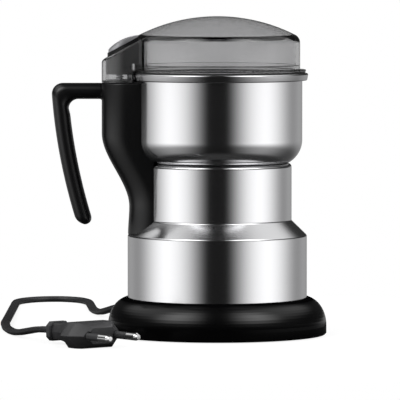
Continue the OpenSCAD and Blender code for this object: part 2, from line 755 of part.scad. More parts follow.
// handle outline: the grip's outer edge and the section between outer and inner edge
function grip_x(z, z0) = -handle_out + tan(grip_lean) * (z0 - z) + pow(z0 - z, 2) / (2 * grip_arc);
function handle_ring(o, i, w) =
  let (c = (o + i) / 2, u = (o - i) / 2)
  [for (k = [0:17]) let (a = k * 20)
    let (p = pow(abs(cos(a)), 0.6) * sign(cos(a)), q = pow(abs(sin(a)), 0.6) * sign(sin(a)))
    [c.x + u.x * p, w / 2 * q, c.y + u.y * p]];
module handle() {
  ro = 6;
  ri = 5.3;
  zt = column_top - 0.2;
  za = zt - arm_t;
  co = [-handle_out + ro, zt - ro];
  ci = [-handle_out + grip_t + ri + 0.2, za - ri];
  cap = 4.6;
  z_end = grip_end + cap;
  x0 = 1.7 - column_out;
  loft(concat(
    [for (t = [0, 0.5]) handle_ring(
      [x0 + (co.x - x0) * t, zt], [x0 + (ci.x - x0) * t, za], handle_w)],
    [for (k = [0:5]) let (a = 90 + 18 * k)
      handle_ring(co + ro * [cos(a), sin(a)], ci + ri * [cos(a), sin(a)], handle_w)],
    [for (k = [1:9]) let (zo = co.y + (z_end - co.y) * k / 9, zi = ci.y + (z_end - ci.y) * k / 9)
      handle_ring([grip_x(zo, co.y), zo], [grip_x(zi, co.y) + grip_t, zi], handle_w)],
    [for (k = [1:4]) let (a = 19 * k, z = z_end - cap * sin(a), m = grip_x(z, co.y) + grip_t / 2)
      let (half = grip_t / 2 * cos(a))
      handle_ring([m - half, z], [m + half, z], handle_w * (0.5 + 0.5 * cos(a)))]
  ));
}
module handle_column() {
  color("#111112") difference() {
    union() {
      difference() {
        column_body(foot_of_column, column_top, 0, 7);
        column_body(foot_of_column + 4, column_top - 3, column_wall, 7);
      }
      handle();
      for (z = column_screw_z)
        translate([1.4 - column_x(z), 0, z]) rotate([0, 90, 0]) cylinder(r = 3.4, h = 12);
      for (y = [-switch_hole, switch_hole])
        translate([2.2 - column_out, y, switch_top - switch_h / 2 - 1.6]) rotate([0, 90, 0])
          cylinder(r = 3, h = switch_x - switch_w / 2 + column_out - 2.2);
    }
    housing_outer();
    rotate_extrude() cup(bowl_r, bowl_corner, bowl_z, rim_top);
    rotate_extrude() translate([0, housing_top - 1]) square([neck_r, bowl_z - housing_top + 2]);
    for (z = column_screw_z)
      translate([4.4 - column_x(z), 0, z]) rotate([0, 90, 0]) cylinder(r = 1.5 + screw_gap, h = 16);
    for (y = [-switch_hole, switch_hole])
      translate([2.4 - column_out, y, switch_top - switch_h / 2 - 1.6]) rotate([0, 90, 0])
        cylinder(r = 1.3 + screw_gap, h = 12);
    translate([rod_x, 0, column_top - 8]) cylinder(r = rod_r + 0.6, h = 12);
  }
}
module column_screws() {
  head_x = -sqrt(pow(neck_r - steel_t, 2) - 9);
  color("#9c9c9c") for (z = column_screw_z) translate([head_x, 0, z]) rotate([0, 90, 0]) {
    rotate([180, 0, 0]) translate([0, 0, -2]) cross_head(2.9, 2);
    translate([0, 0, 5.6 - column_x(z) - head_x]) cylinder(r = 1.5, h = column_x(z) + head_x - 5.6);
  }
}

// switch
module switch_case() {
  color("#1f1f22") difference() {
    union() {
      translate([switch_x - switch_w / 2, -switch_l / 2, switch_top - switch_h])
        cube([switch_w, switch_l, switch_h]);
      for (s = [-1, 1])
        translate([switch_x + s * (lever_w / 2 + 1) - 0.7, -switch_arm - 1.3, switch_top - 0.2])
          cube([1.4, 2.6, pivot_rise + 1.4]);
    }
    translate([switch_x - 5, -switch_arm, lever_z]) rotate([0, 90, 0]) cylinder(r = pivot_r + 0.05, h = 10);
    for (y = [-switch_hole, switch_hole]) translate([switch_x - 8, y, switch_top - switch_h / 2 - 1.6])
      rotate([0, 90, 0]) cylinder(r = 1.5, h = 16);
    translate([switch_x, button_at - switch_arm, switch_top - 4]) cylinder(r = button_r + 0.3, h = 6);
  }
}
module switch_terminals() {
  color("#c8a24a") for (y = [-8, 1, 10])
    translate([switch_x - 2.4, y - 0.4, switch_top - switch_h - 6]) difference() {
      cube([4.8, 0.8, 6]);
      translate([2.4, -1, 2]) rotate([-90, 0, 0]) cylinder(r = 0.8, h = 3);
    }
}
module switch_screws() {
  color("#9c9c9c") for (y = [-switch_hole, switch_hole])
    translate([switch_x + switch_w / 2, y, switch_top - switch_h / 2 - 1.6]) rotate([0, 90, 0]) {
      rotate([180, 0, 0]) translate([0, 0, -1.2]) cross_head(2.4, 1.2);
      translate([0, 0, -switch_w - 1.2]) cylinder(r = 1.3, h = switch_w + 1.2);
    }
}
module switch_lever() {
  color("#c9c9c9") translate([switch_x, -switch_arm, lever_z]) {
    rotate([lever_rest, 0, 0]) translate([-lever_w / 2, 0, 0]) cube([lever_w, switch_arm + 5, lever_t]);
    rotate([0, 90, 0]) translate([0, 0, -lever_w / 2 - 1.5]) cylinder(r = pivot_r, h = lever_w + 3);
  }
}
module switch_button() {
  color("#7a1f1f") translate([switch_x, button_at - switch_arm, switch_top - 3])
    cylinder(r = button_r, h = 3 + button_rise);
}

// lid
module lid_region(t) {
  phi = atan2(lid_r - lid_round, lid_fillet_z - dome_z);
  translate([0, lid_z - 6]) square([lid_r - t, lid_fillet_z - lid_z + 6]);
  translate([lid_r - lid_round, lid_fillet_z]) circle(lid_round - t);
  translate([0, dome_z]) intersection() {
    circle(dome_r - t, $fn = 360);
    polygon([[0, 40], [0, 2 * dome_r], [2 * dome_r * tan(phi), 2 * dome_r], [40 * tan(phi), 40]]);
  }
}
module lid_solid(t) {
  rotate_extrude() intersection() {
    lid_region(t);
    translate([0, lid_z]) square([lid_r + 9, lid_h + 9]);
  }
}
// plan of column and key housing, ending at back
module column_plan(inset, back) {
  r = column_round - inset;
  w = column_w / 2 - inset;
  x = column_out - inset;
  translate([r - x, -w]) square([x - r - back, 2 * w]);
  translate([-x, r - w]) square([x - back, 2 * (w - r)]);
  for (s = [-1, 1]) translate([r - x, s * (w - r)]) circle(r);
}
module on_slope() {
  translate([-column_out, 0, slope_z]) rotate([0, -key_slope, 0]) children();
}
module above_slope(h) {
  on_slope() translate([-40, -50, h]) cube([140, 100, 60]);
}
module plan_block(inset, z0, h, back) {
  difference() {
    translate([0, 0, z0]) linear_extrude(60) column_plan(inset, back);
    above_slope(h);
  }
}
module lid_cover() {
  color([0.25, 0.25, 0.26, 0.5]) difference() {
    union() {
      lid_solid(0);
      translate([0, 0, brim_z]) cylinder(r = brim_r, h = brim_t);
      translate([0, 0, lid_z - 3.4]) cylinder(r = spigot_lid_r, h = 3.5);
      difference() {
        plan_block(0, ext_z, 0, ext_back);
        translate([0, 0, ext_z - 1]) cylinder(r = rim_out + 0.4, h = brim_z - ext_z + 1);
      }
    }
    difference() {
      union() {
        plan_block(lid_t, ext_z - 1, -lip_t, ext_back);
        plan_block(lid_t + lip_w, ext_z - 1, 9, ext_back - 2);
      }
      lid_solid(0);
      translate([0, 0, brim_z]) cylinder(r = brim_r, h = brim_t);
      translate([0, 0, ext_z - 2]) cylinder(r = rim_out + 0.4, h = brim_z - ext_z + 2);
    }
    difference() {
      lid_solid(lid_t);
      ring(skirt_in, lid_r, lid_z - 1, skirt_h + 1);
    }
    translate([0, 0, lid_z - 9]) cylinder(r = skirt_in, h = 12);
  }
}
module lid_seal() {
  color("#161616") ring(lid_r + 0.3, brim_r - 0.3, lid_z, seal_t);
}
module key_retainer() {
  color("#17171a") difference() {
    translate([0, 0, ext_z]) linear_extrude(retainer_t) column_plan(lid_t, ext_back);
    translate([0, 0, ext_z - 1]) cylinder(r = rim_out + 0.5, h = 4);
    translate([rod_x, 0, ext_z - 1]) cylinder(r = rod_r + 0.35, h = 4);
  }
}
module key_spring() {
  color("#c4c4c4") translate([rod_x, 0, ext_z + retainer_t])
    wound(spring_r, collar_z - ext_z - retainer_t, spring_turns, spring_wire);
}
// room for the key to sink beside the lid
module key_clear() {
  translate([0, 0, key_travel]) lid_solid(-2 * slide_gap);
  translate([0, 0, ext_z]) cylinder(r = rim_out + 0.5, h = brim_z + brim_t + key_travel + 0.5 - ext_z);
}
module press_key() {
  side = lid_t + slide_gap;
  color("#131314") difference() {
    union() {
      plan_block(side, key_z, -lip_t - slide_gap, key_back);
      plan_block(side + lip_w, key_z, key_rise, key_back);
    }
    difference() {
      plan_block(side + 2.2, key_z - 1, key_rise - 2.6, key_back);
      translate([rod_x, 0, rod_head - 5]) cylinder(r = 2.8, h = 20);
      translate([0, 0, ext_z]) cylinder(r = rim_out + 0.5 + 1.6, h = 80);
    }
    key_clear();
    translate([rod_x, 0, key_z - 1]) cylinder(r = collar_r + 0.5, h = collar_z + collar_t + 0.3 - key_z + 1);
    translate([rod_x, 0, key_z - 1]) cylinder(r = rod_r, h = rod_head - key_z + 1);
  }
}
module key_grip() {
  side = lid_t + slide_gap + lip_w + 0.5;
  half = (column_out - side - key_back - 0.5) / 2;
  mid = (half + side) / cos(key_slope);
  run = half / cos(key_slope);
  big = (run * run + crown * crown) / (2 * crown);
  axis_h = key_rise + grip_edge + crown - big;
  color("#b9babc") difference() {
    intersection() {
      translate([0, 0, key_z]) linear_extrude(60) column_plan(side, key_back + 0.5);
      on_slope() translate([mid, 50, axis_h]) rotate([90, 0, 0])
        cylinder(r = big, h = 100, $fn = 180);
      above_slope(key_rise);
    }
    key_clear();
    on_slope() translate([mid, 0, axis_h]) for (i = [0:rib_n])
      rotate([0, (i - rib_n / 2) * 1.5 * asin(run / big) / rib_n, 0]) translate([0, 50, big + 0.12])
        rotate([90, 0, 0]) cylinder(r = 0.45, h = 100);
  }
}
module push_rod() {
  color("#d4d4d4") translate([rod_x, 0, 0]) {
    translate([0, 0, rod_end]) cylinder(r = rod_r, h = rod_head - rod_end);
    translate([0, 0, collar_z]) cylinder(r = collar_r, h = collar_t);
  }
}

// cord
module cord_section(w, t) {
  square([w - t, t], center = true);
  for (s = [-1, 1]) translate([s * (w - t) / 2, 0]) circle(t / 2);
}
module cord_bush() {
  color("#141415") difference() {
    union() {
      radial(cord_angle, gland_at - 2, cord_z) cylinder(r = 5, h = 2);
      radial(cord_angle, gland_at, cord_z) cylinder(r = 4, h = base_r + 1 - gland_at);
      radial(cord_angle, base_r + 1, cord_z) cylinder(r1 = 4, r2 = 3.4, h = gland_end - base_r - 1);
      for (i = [0:5]) radial(cord_angle, base_r + 1 + i * 4.2, cord_z) cylinder(r = 4.8 - i * 0.16, h = 2.4);
    }
    radial(cord_angle, gland_at - 3, cord_z) cylinder(r = cord_w / 2 + 0.15, h = gland_end - gland_at + 6);
  }
}
module cord_tail() {
  color("#161617") radial(cord_angle, spigot_in - 2, cord_z)
    linear_extrude(gland_end - spigot_in + 2) cord_section(cord_w, cord_t);
}
module cord_clamp() {
  color("#1a1a1b") rotate([0, 0, cord_angle]) difference() {
    union() {
      translate([spigot_in + 0.3, -8, cord_z - cord_t / 2 - 2]) cube([4, 16, 2]);
      for (s = [-1, 1]) translate([spigot_in + 0.3, s * 5.6 - 2.4, cord_z - cord_t / 2 - 2])
        cube([4, 4.8, cord_t + 2]);
    }
    for (s = [-1, 1]) translate([spigot_in + 2.3, s * 5.6, cord_z - 6]) cylinder(r = 1.2 + screw_gap, h = 12);
  }
}
module clamp_screws() {
  color("#9c9c9c") rotate([0, 0, cord_angle]) for (s = [-1, 1])
    translate([spigot_in + 2.3, s * 5.6, cord_z - cord_t / 2 - 2]) {
      translate([0, 0, -1]) cross_head(1.9, 1);
      cylinder(r = 1.2, h = cord_t + 4);
    }
}
// a smooth curve through the route's points, two rings to a stretch
exit_dir = [cos(cord_angle), sin(cord_angle), 0];
plug_dir = [cos(plug_angle), sin(plug_angle), 0];
function way(i) =
  i == 0 ? exit_dir * norm(route[1] - route[0])
  : i == len(route) - 1 ? plug_dir * norm(route[i] - route[i - 1])
  : (route[i + 1] - route[i - 1]) / 2;
function between(i) = (route[i] + route[i + 1]) / 2 + (way(i) - way(i + 1)) / 8;
function way_between(i) = (route[i + 1] - route[i]) * 1.5 - (way(i) + way(i + 1)) / 4;
function cord_ring(c, d) =
  let (s = unit([-d.y, d.x, 0]), u = cross(d, s))
  [for (k = [0:11]) let (a = 15 + k * 30, e = cos(a) > 0 ? 1 : -1)
    c + s * (e * (cord_w - cord_t) / 2 + cord_t / 2 * cos(a)) + u * cord_t / 2 * sin(a) / cos(15)];
module power_cord() {
  n = len(route) - 1;
  color("#161617") loft(concat(
    [for (i = [0:n - 1])
      each [cord_ring(route[i], unit(way(i))), cord_ring(between(i), unit(way_between(i)))]],
    [cord_ring(route[n], plug_dir)]));
}
function path_length(i) =
  i == 0 ? 0 : path_length(i - 1) + norm(route[i] - between(i - 1)) + norm(between(i - 1) - route[i - 1]);
echo(cord_length = path_length(len(route) - 1));
echo(key_spring_gap = (collar_z - ext_z - retainer_t - spring_wire) / spring_turns - spring_wire);

// plug: X runs from the cord to the pins
module at_plug() {
  translate(plug_at) rotate([0, 0, plug_angle]) children();
}
function plug_edge(t) = 5.4 + (plug_w / 2 - 5.4) * pow(t, 1.7);
plug_half = concat(
  [[0, 6.8], [3.6, 6.8], [3.6, 5.4]],
  [for (i = [0:8]) [plug_l * (0.16 + 0.5 * i / 8), plug_edge(i / 8)]],
  [[plug_l - 8, plug_w / 2], [plug_l, plug_w / 2 - 6]]);
plug_plan = concat(plug_half, [for (i = [len(plug_half) - 1:-1:0]) [plug_half[i].x, -plug_half[i].y]]);
module plug_body() {
  color("#1c1c1e") at_plug() difference() {
    intersection() {
      translate([0, 0, -plug_t / 2]) linear_extrude(plug_t) polygon(plug_plan);
      rotate([90, 0, 0]) translate([0, 0, -plug_w]) linear_extrude(2 * plug_w) polygon([
        [-1, -5.2], [3.6, -5.2], [3.6, -plug_neck_t / 2], [plug_l * 0.2, -plug_neck_t / 2],
        [plug_l * 0.62, -plug_t / 2], [plug_l - 5, -plug_t / 2], [plug_l, -plug_t / 2 + 2.4],
        [plug_l, plug_t / 2 - 2.4], [plug_l - 5, plug_t / 2], [plug_l * 0.62, plug_t / 2],
        [plug_l * 0.2, plug_neck_t / 2], [3.6, plug_neck_t / 2], [3.6, 5.2], [-1, 5.2]]);
    }
    for (i = [0:4], s = [-1, 1]) translate([plug_l * 0.4 + i * 2.2, -30, s * plug_t / 2 - 2.2])
      mirror([0, 0, s > 0 ? 0 : 1]) translate([0, 0, s > 0 ? 1.6 : -3.8]) cube([1, 60, 4]);
    for (s = [-1, 1]) translate([plug_slot[0], -plug_slot[2] / 2, s * plug_neck_t / 2 - plug_slot[3]])
      cube([plug_slot[1], plug_slot[2], 2 * plug_slot[3]]);
    at_pins(plug_l - pin_root) pin_core();
  }
}
module at_pins(x) {
  for (s = [-1, 1]) translate([x, s * pin_gap / 2, 0]) rotate([0, 90, 0]) children();
}
// core of a pin, with the collar that the body is moulded round
module pin_core() {
  cylinder(d = pin_core_d, h = pin_root + sleeve_l);
  translate([0, 0, 1]) cylinder(d = pin_core_d + 2.6, h = 2);
}
module pin_sleeves() {
  color("#111112") at_plug() at_pins(plug_l) difference() {
    cylinder(d = pin_d, h = sleeve_l);
    translate([0, 0, -1]) cylinder(d = pin_core_d, h = sleeve_l + 2);
  }
}
module plug_pins() {
  color("#d9d9d9") at_plug() at_pins(plug_l - pin_root) {
    pin_core();
    translate([0, 0, pin_root + sleeve_l]) cylinder(d = pin_d, h = pin_l - sleeve_l - pin_tip);
    translate([0, 0, pin_root + pin_l - pin_tip]) cylinder(d1 = pin_d, d2 = pin_d - 1.6, h = pin_tip);
  }
}

foot_ring();
base_shell();
bottom_cover();
cover_screws();
housing_shell();
bowl_gasket();
bowl();
bowl_nuts();
shaft_seal();
upper_bracket();
upper_bearing();
stator_core();
field_coils();
lower_bracket();
lower_bearing();
motor_screws();
brush_holders();
carbon_brushes();
brush_springs();
handle_column();
column_screws();
switch_case();
switch_terminals();
switch_screws();
switch_lever();
switch_button();
cord_clamp();
clamp_screws();
cord_bush();
cord_tail();
power_cord();
plug_body();
pin_sleeves();
plug_pins();
motor_shaft();
armature_core();
armature_winding();
commutator();
cooling_fan();
blade_spacer();
blade();
blade_nut();
lid_cover();
lid_seal();
key_retainer();
key_spring();
press_key();
key_grip();
push_rod();
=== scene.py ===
import json
import math

import bmesh
import bpy
from mathutils import Matrix, Vector


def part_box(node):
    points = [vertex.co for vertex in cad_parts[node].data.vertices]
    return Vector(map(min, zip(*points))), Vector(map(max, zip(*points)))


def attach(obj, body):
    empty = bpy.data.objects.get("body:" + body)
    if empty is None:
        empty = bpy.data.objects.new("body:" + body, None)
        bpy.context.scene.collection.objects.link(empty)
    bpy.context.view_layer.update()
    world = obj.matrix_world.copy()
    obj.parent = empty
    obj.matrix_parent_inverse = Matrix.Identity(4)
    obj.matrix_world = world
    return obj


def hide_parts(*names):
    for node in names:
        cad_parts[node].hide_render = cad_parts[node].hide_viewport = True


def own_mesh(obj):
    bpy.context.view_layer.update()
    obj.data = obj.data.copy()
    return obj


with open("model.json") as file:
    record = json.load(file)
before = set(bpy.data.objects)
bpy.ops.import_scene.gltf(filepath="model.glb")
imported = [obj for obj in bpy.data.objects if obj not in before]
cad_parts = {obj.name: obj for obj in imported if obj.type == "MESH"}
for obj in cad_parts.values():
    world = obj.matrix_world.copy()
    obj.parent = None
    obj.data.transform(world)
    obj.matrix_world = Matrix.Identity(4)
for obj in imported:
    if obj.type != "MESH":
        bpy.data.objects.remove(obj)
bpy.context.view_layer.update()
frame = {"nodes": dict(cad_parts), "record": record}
nodes = frame["nodes"]
record = frame["record"]
scene = bpy.context.scene
MM = 0.001
BODY_OF = {n: body for body, members in record["behaviour"]["bodies"].items() for n in members}
SLOT_OF = {part["node"]: part["material_slot"] for part in record["subparts"]}
finishes = {}


# Camera: far off, a little above the lid, tilted down
FRAME_PX = 400
PIXEL_MM = 0.548  # width of one pixel at the blade axis
AXIS_PX = (217.3, 334.6)  # where the blade axis meets the bench
CAMERA_BACK = 2410
CAMERA_UP = 207
SENSOR_MM = 36
CLIP_END = 50


def set_camera():
    focal_px = CAMERA_BACK / PIXEL_MM
    camera = bpy.data.cameras.new("camera")
    camera.sensor_width = SENSOR_MM
    camera.lens = SENSOR_MM * focal_px / FRAME_PX
    camera.clip_end = CLIP_END
    place = bpy.data.objects.new("camera", camera)
    scene.collection.objects.link(place)
    scene.camera = place
    bench_below_horizon = math.atan2(CAMERA_UP, CAMERA_BACK)
    bench_below_middle = math.atan2(AXIS_PX[1] - FRAME_PX / 2, focal_px)
    tilt = bench_below_horizon - bench_below_middle
    aside = (FRAME_PX / 2 - AXIS_PX[0]) * PIXEL_MM
    place.location = Vector((aside, -CAMERA_BACK, CAMERA_UP)) * MM
    place.rotation_euler = (math.pi / 2 - tilt, 0, 0)


set_camera()


# Making and placing pieces, in millimetres
SAME_POINT = 0.0005
SAME_CAD_POINT = 0.002
SHARP_ANGLE = 30
FLAT_ANGLE = 0.6


def make(bm, name, *stands_for, crease=35):
    """A piece from bm, in place of CAD nodes whose body and finish it takes."""
    bmesh.ops.remove_doubles(bm, verts=bm.verts, dist=SAME_POINT)
    bmesh.ops.delete(bm, geom=[e for e in bm.edges if e.is_wire], context="EDGES")
    bmesh.ops.recalc_face_normals(bm, faces=bm.faces)
    bmesh.ops.scale(bm, vec=(MM, MM, MM), verts=bm.verts)
    mesh = bpy.data.meshes.new(name)
    bm.to_mesh(mesh)
    bm.free()
    mesh.shade_smooth()
    mesh.set_sharp_from_angle(angle=math.radians(crease))
    mesh.materials.append(finishes[SLOT_OF[stands_for[0]]])
    piece = bpy.data.objects.new(name, mesh)
    scene.collection.objects.link(piece)
    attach(piece, BODY_OF[stands_for[0]])
    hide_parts(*stands_for)
    return piece


def low(node):
    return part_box(node)[0] / MM


def high(node):
    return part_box(node)[1] / MM


def arc(centre, radius, start, end, steps):
    """Points along an arc, angles in degrees."""
    angles = [math.radians(start + (end - start) * i / steps) for i in range(steps + 1)]
    return [(centre[0] + radius * math.cos(a), centre[1] + radius * math.sin(a)) for a in angles]


def rounded(corners, steps=6):
    """A closed outline of (x, y, radius) corners with each corner rounded."""
    points = []
    for i, (x, y, radius) in enumerate(corners):
        corner = Vector((x, y))
        if radius == 0:
            points.append(tuple(corner))
            continue
        before = (Vector(corners[i - 1][:2]) - corner).normalized()
        after = (Vector(corners[(i + 1) % len(corners)][:2]) - corner).normalized()
        half = before.angle(after) / 2
        centre = corner + (before + after).normalized() * radius / math.sin(half)
        first = corner + before * radius / math.tan(half) - centre
        last = corner + after * radius / math.tan(half) - centre
        turn = first.angle_signed(last)
        for k in range(steps + 1):
            spoke = Matrix.Rotation(-turn * k / steps, 2) @ first
            points.append(tuple(centre + spoke))
    return points


def edge_steps(soft_edge):
    """How far in and how far short of the end each step of a soft edge lies."""
    if not soft_edge:
        return []
    turns = [math.radians(a) for a in (30, 60, 90)]
    return [(soft_edge * (1 - math.cos(t)), soft_edge * (1 - math.sin(t))) for t in turns]


def turned(outline, steps=192):
    """A section of (radius, height) points, from axis to axis or closed, turned about the blade axis."""
    bm = bmesh.new()
    ring = [bm.verts.new((r, 0, z)) for r, z in outline]
    edges = [bm.edges.new(pair) for pair in zip(ring, ring[1:])]
    bmesh.ops.spin(
        bm, geom=ring + edges, cent=(0, 0, 0), axis=(0, 0, 1), dvec=(0, 0, 0),
        angle=2 * math.pi, steps=steps, use_merge=True,
    )
    return bm


def rod(radius, length, place):
    """A round bar along Z about the origin, then put in its place."""
    bm = bmesh.new()
    bmesh.ops.create_cone(
        bm, cap_ends=True, segments=32, radius1=radius, radius2=radius, depth=length, matrix=place,
    )
    return bm


def loft(rings):
    """Rings of points bridged one to the next, with both ends closed."""
    bm = bmesh.new()
    loops = []
    for points in rings:
        verts = [bm.verts.new(p) for p in points]
        loops.append([bm.edges.new(pair) for pair in zip(verts, verts[1:] + verts[:1])])
    for one, other in zip(loops, loops[1:]):
        bmesh.ops.bridge_loops(bm, edges=one + other)
    for end in (loops[0], loops[-1]):
        bmesh.ops.edgeloop_fill(bm, edges=end)
    return bm


def carve(solid, joins=(), cuts=()):
    """A solid with other solids joined to it and cut out of it."""
    spare = []
    for shape in (solid, *joins, *cuts):
        bmesh.ops.remove_doubles(shape, verts=shape.verts, dist=SAME_POINT)
        bmesh.ops.recalc_face_normals(shape, faces=shape.faces)
        mesh = bpy.data.meshes.new("spare")
        shape.to_mesh(mesh)
        shape.free()
        spare.append(bpy.data.objects.new("spare", mesh))
        scene.collection.objects.link(spare[-1])
    for i, tool in enumerate(spare[1:]):
        step = spare[0].modifiers.new("carve", "BOOLEAN")
        step.operation = "UNION" if i < len(joins) else "DIFFERENCE"
        step.object = tool
    carved = spare[0].evaluated_get(bpy.context.evaluated_depsgraph_get())
    bm = bmesh.new()
    bm.from_mesh(carved.to_mesh())
    for used in spare:
        bpy.data.meshes.remove(used.data)
    return bm


def merged(node):
    """A copy of a CAD node's mesh as one surface."""
    bm = bmesh.new()
    bm.from_mesh(nodes[node].data)
    bmesh.ops.scale(bm, vec=(1 / MM, 1 / MM, 1 / MM), verts=bm.verts)
    bmesh.ops.remove_doubles(bm, verts=bm.verts, dist=SAME_CAD_POINT)
    return bm


def soften(bm, width, segments=3):
    """Rounds off the sharp edges."""
    flat = math.radians(FLAT_ANGLE)
    bmesh.ops.dissolve_limit(bm, angle_limit=flat, verts=bm.verts, edges=bm.edges)
    sharp = [e for e in bm.edges if e.is_manifold and e.calc_face_angle() > math.radians(SHARP_ANGLE)]
    bmesh.ops.bevel(
        bm, geom=sharp, offset=width, segments=segments, profile=0.5, affect="EDGES",
        clamp_overlap=True, material=-1,
    )
    return bm


# Shader nodes
def add_math(tree, operation, *values):
    """A math node fed by sockets or plain numbers; returns its output."""
    node = tree.nodes.new("ShaderNodeMath")
    node.operation = operation
    for socket, value in zip(node.inputs, values):
        if isinstance(value, (int, float)):
            socket.default_value = value
        else:
            tree.links.new(value, socket)
    return node.outputs[0]


def add_ease(tree, value, span, first, last):
    """A smooth step from first to last as value goes through the span."""
    node = tree.nodes.new("ShaderNodeMapRange")
    node.interpolation_type = "SMOOTHSTEP"
    for socket, number in zip(node.inputs[1:5], (*span, first, last)):
        socket.default_value = number
    tree.links.new(value, node.inputs[0])
    return node.outputs[0]


# Finishes: each is a principled shader with fine variation from its own noise
NOISE_DETAIL = 3
ROUGH_SPREAD = 0.15  # share by which the noise changes the roughness
RELIEF = 0.05 * MM
BRUSHED = (60, 60, 0.12)  # brush marks run round the sheet
SMOKE = 90  # how dark the smoked plastic is, per metre


def finish(slot, color, rough, metallic=0.0, grain=(0.6, 0.6, 0.6), bump=0.05, spread=0.15, **sockets):
    """grain is the size of the noise along X, Y and Z in millimetres."""
    material = bpy.data.materials.new(slot)
    material.use_nodes = True
    tree = material.node_tree
    shader = tree.nodes["Principled BSDF"]
    place = tree.nodes.new("ShaderNodeTexCoord")
    mapping = tree.nodes.new("ShaderNodeMapping")
    mapping.inputs["Scale"].default_value = [1 / (g * MM) for g in grain]
    noise = tree.nodes.new("ShaderNodeTexNoise")
    noise.inputs["Scale"].default_value = 1
    noise.inputs["Detail"].default_value = NOISE_DETAIL
    tint = tree.nodes.new("ShaderNodeMixRGB")
    tint.inputs[1].default_value = (*[c * (1 - spread) for c in color], 1)
    tint.inputs[2].default_value = (*[min(1, c * (1 + spread)) for c in color], 1)
    gloss = tree.nodes.new("ShaderNodeMapRange")
    gloss.inputs["To Min"].default_value = rough * (1 - ROUGH_SPREAD)
    gloss.inputs["To Max"].default_value = rough * (1 + ROUGH_SPREAD)
    relief = tree.nodes.new("ShaderNodeBump")
    relief.inputs["Strength"].default_value = bump
    relief.inputs["Distance"].default_value = RELIEF
    tree.links.new(place.outputs["Object"], mapping.inputs["Vector"])
    tree.links.new(mapping.outputs["Vector"], noise.inputs["Vector"])
    tree.links.new(noise.outputs[0], tint.inputs[0])
    tree.links.new(noise.outputs[0], gloss.inputs["Value"])
    tree.links.new(noise.outputs[0], relief.inputs["Height"])
    tree.links.new(tint.outputs[0], shader.inputs["Base Color"])
    tree.links.new(gloss.outputs["Result"], shader.inputs["Roughness"])
    tree.links.new(relief.outputs["Normal"], shader.inputs["Normal"])
    shader.inputs["Metallic"].default_value = metallic
    for socket, value in sockets.items():
        shader.inputs[socket.replace("_", " ")].default_value = value
    finishes[slot] = material
    return material


finish("gloss_black", (0.002, 0.002, 0.0022), 0.2, grain=(0.9, 0.9, 0.9), bump=0.01)
finish("satin_black", (0.003, 0.003, 0.0034), 0.34, grain=(0.35, 0.35, 0.35), bump=0.08)
finish("inner_plastic", (0.05, 0.05, 0.055), 0.5, bump=0.1)
finish("button_plastic", (0.3, 0.03, 0.03), 0.4)
finish("rubber_black", (0.02, 0.02, 0.02), 0.65, grain=(0.3, 0.3, 0.3), bump=0.2)
finish("cord_black", (0.022, 0.022, 0.024), 0.48, grain=(0.5, 0.5, 0.5), bump=0.15)
finish("plug_black", (0.045, 0.045, 0.047), 0.48, grain=(0.25, 0.25, 0.25), bump=0.15)
finish("polished_steel", (0.66, 0.66, 0.67), 0.16, 1.0, grain=BRUSHED, bump=0.02, spread=0.05)
finish("blade_steel", (0.6, 0.6, 0.62), 0.2, 1.0, grain=(8, 8, 0.3), bump=0.05, spread=0.08)
smoked = finish(
    "smoked_clear", (0.7, 0.7, 0.705), 0.02, grain=(3, 3, 3), bump=0.004, spread=0.02,
    Transmission_Weight=1.0, IOR=1.49,
)
smoke = smoked.node_tree.nodes.new("ShaderNodeVolumeAbsorption")
smoke.inputs["Color"].default_value = (0, 0, 0, 1)
smoke.inputs["Density"].default_value = SMOKE
smoked.node_tree.links.new(smoke.outputs[0], smoked.node_tree.nodes["Material Output"].inputs["Volume"])
finish("silver_grip", (0.5, 0.5, 0.52), 0.32, 0.6, grain=(0.2, 0.2, 0.2), bump=0.05)
finish("bright_pin", (0.8, 0.8, 0.8), 0.12, 1.0, grain=(0.2, 0.2, 3), bump=0.03, spread=0.05)
finish("screw_steel", (0.6, 0.6, 0.62), 0.3, 1.0, bump=0.08, spread=0.1)
finish("spring_steel", (0.55, 0.55, 0.57), 0.25, 1.0, spread=0.1)
finish("cast_bracket", (0.5, 0.51, 0.52), 0.5, 1.0, bump=0.25)
finish("laminations", (0.3, 0.3, 0.31), 0.5, 0.9, grain=(40, 40, 0.5), bump=0.4)
finish("copper", (0.6, 0.27, 0.12), 0.3, 1.0, grain=(6, 0.4, 0.4), bump=0.4)
finish("bearing_bronze", (0.5, 0.36, 0.18), 0.45, 1.0, grain=(0.3, 0.3, 0.3), bump=0.15)
finish("contact_brass", (0.7, 0.53, 0.22), 0.3, 1.0, spread=0.1)
finish("carbon", (0.03, 0.03, 0.03), 0.6, bump=0.2)
for name, node in nodes.items():
    node.data.materials.clear()
    node.data.materials.append(finishes[SLOT_OF[name]])


# Base: painted shade, its gloss fades away in the crease where the steel goes in, painting a dark contact
# line there, and on its upright wall, painting that wall darker
CREST_Z = high("base_shell").z - 2
# painted shade: the heights over which the crease by the steel loses its gloss
CREASE_SHADE = (CREST_Z - 3.3, CREST_Z - 0.8)
WALL_TOP = low("base_shell").z + 5
WALL_SHADE = (WALL_TOP + 1.5, WALL_TOP + 4.5)
BASE_SHINE = 0.3
# painted shade: the upright wall keeps only this share of the gloss, so it reads darker
WALL_SHADED_SHINE = 0.15  # share of the gloss that the upright wall has


def paint_base_shade():
    tree = finishes["gloss_black"].node_tree
    place = tree.nodes.new("ShaderNodeTexCoord")
    axes = tree.nodes.new("ShaderNodeSeparateXYZ")
    tree.links.new(place.outputs["Object"], axes.inputs[0])
    height = axes.outputs["Z"]
    # painted shade: the gloss is taken away in the crease by the steel and on the upright wall
    crease_shade = add_ease(tree, height, [z * MM for z in CREASE_SHADE], BASE_SHINE, 0)
    wall = add_ease(tree, height, [z * MM for z in WALL_SHADE], WALL_SHADED_SHINE, 1)
    shaded_shine = add_math(tree, "MULTIPLY", crease_shade, wall)
    tree.links.new(shaded_shine, tree.nodes["Principled BSDF"].inputs["Specular IOR Level"])


paint_base_shade()


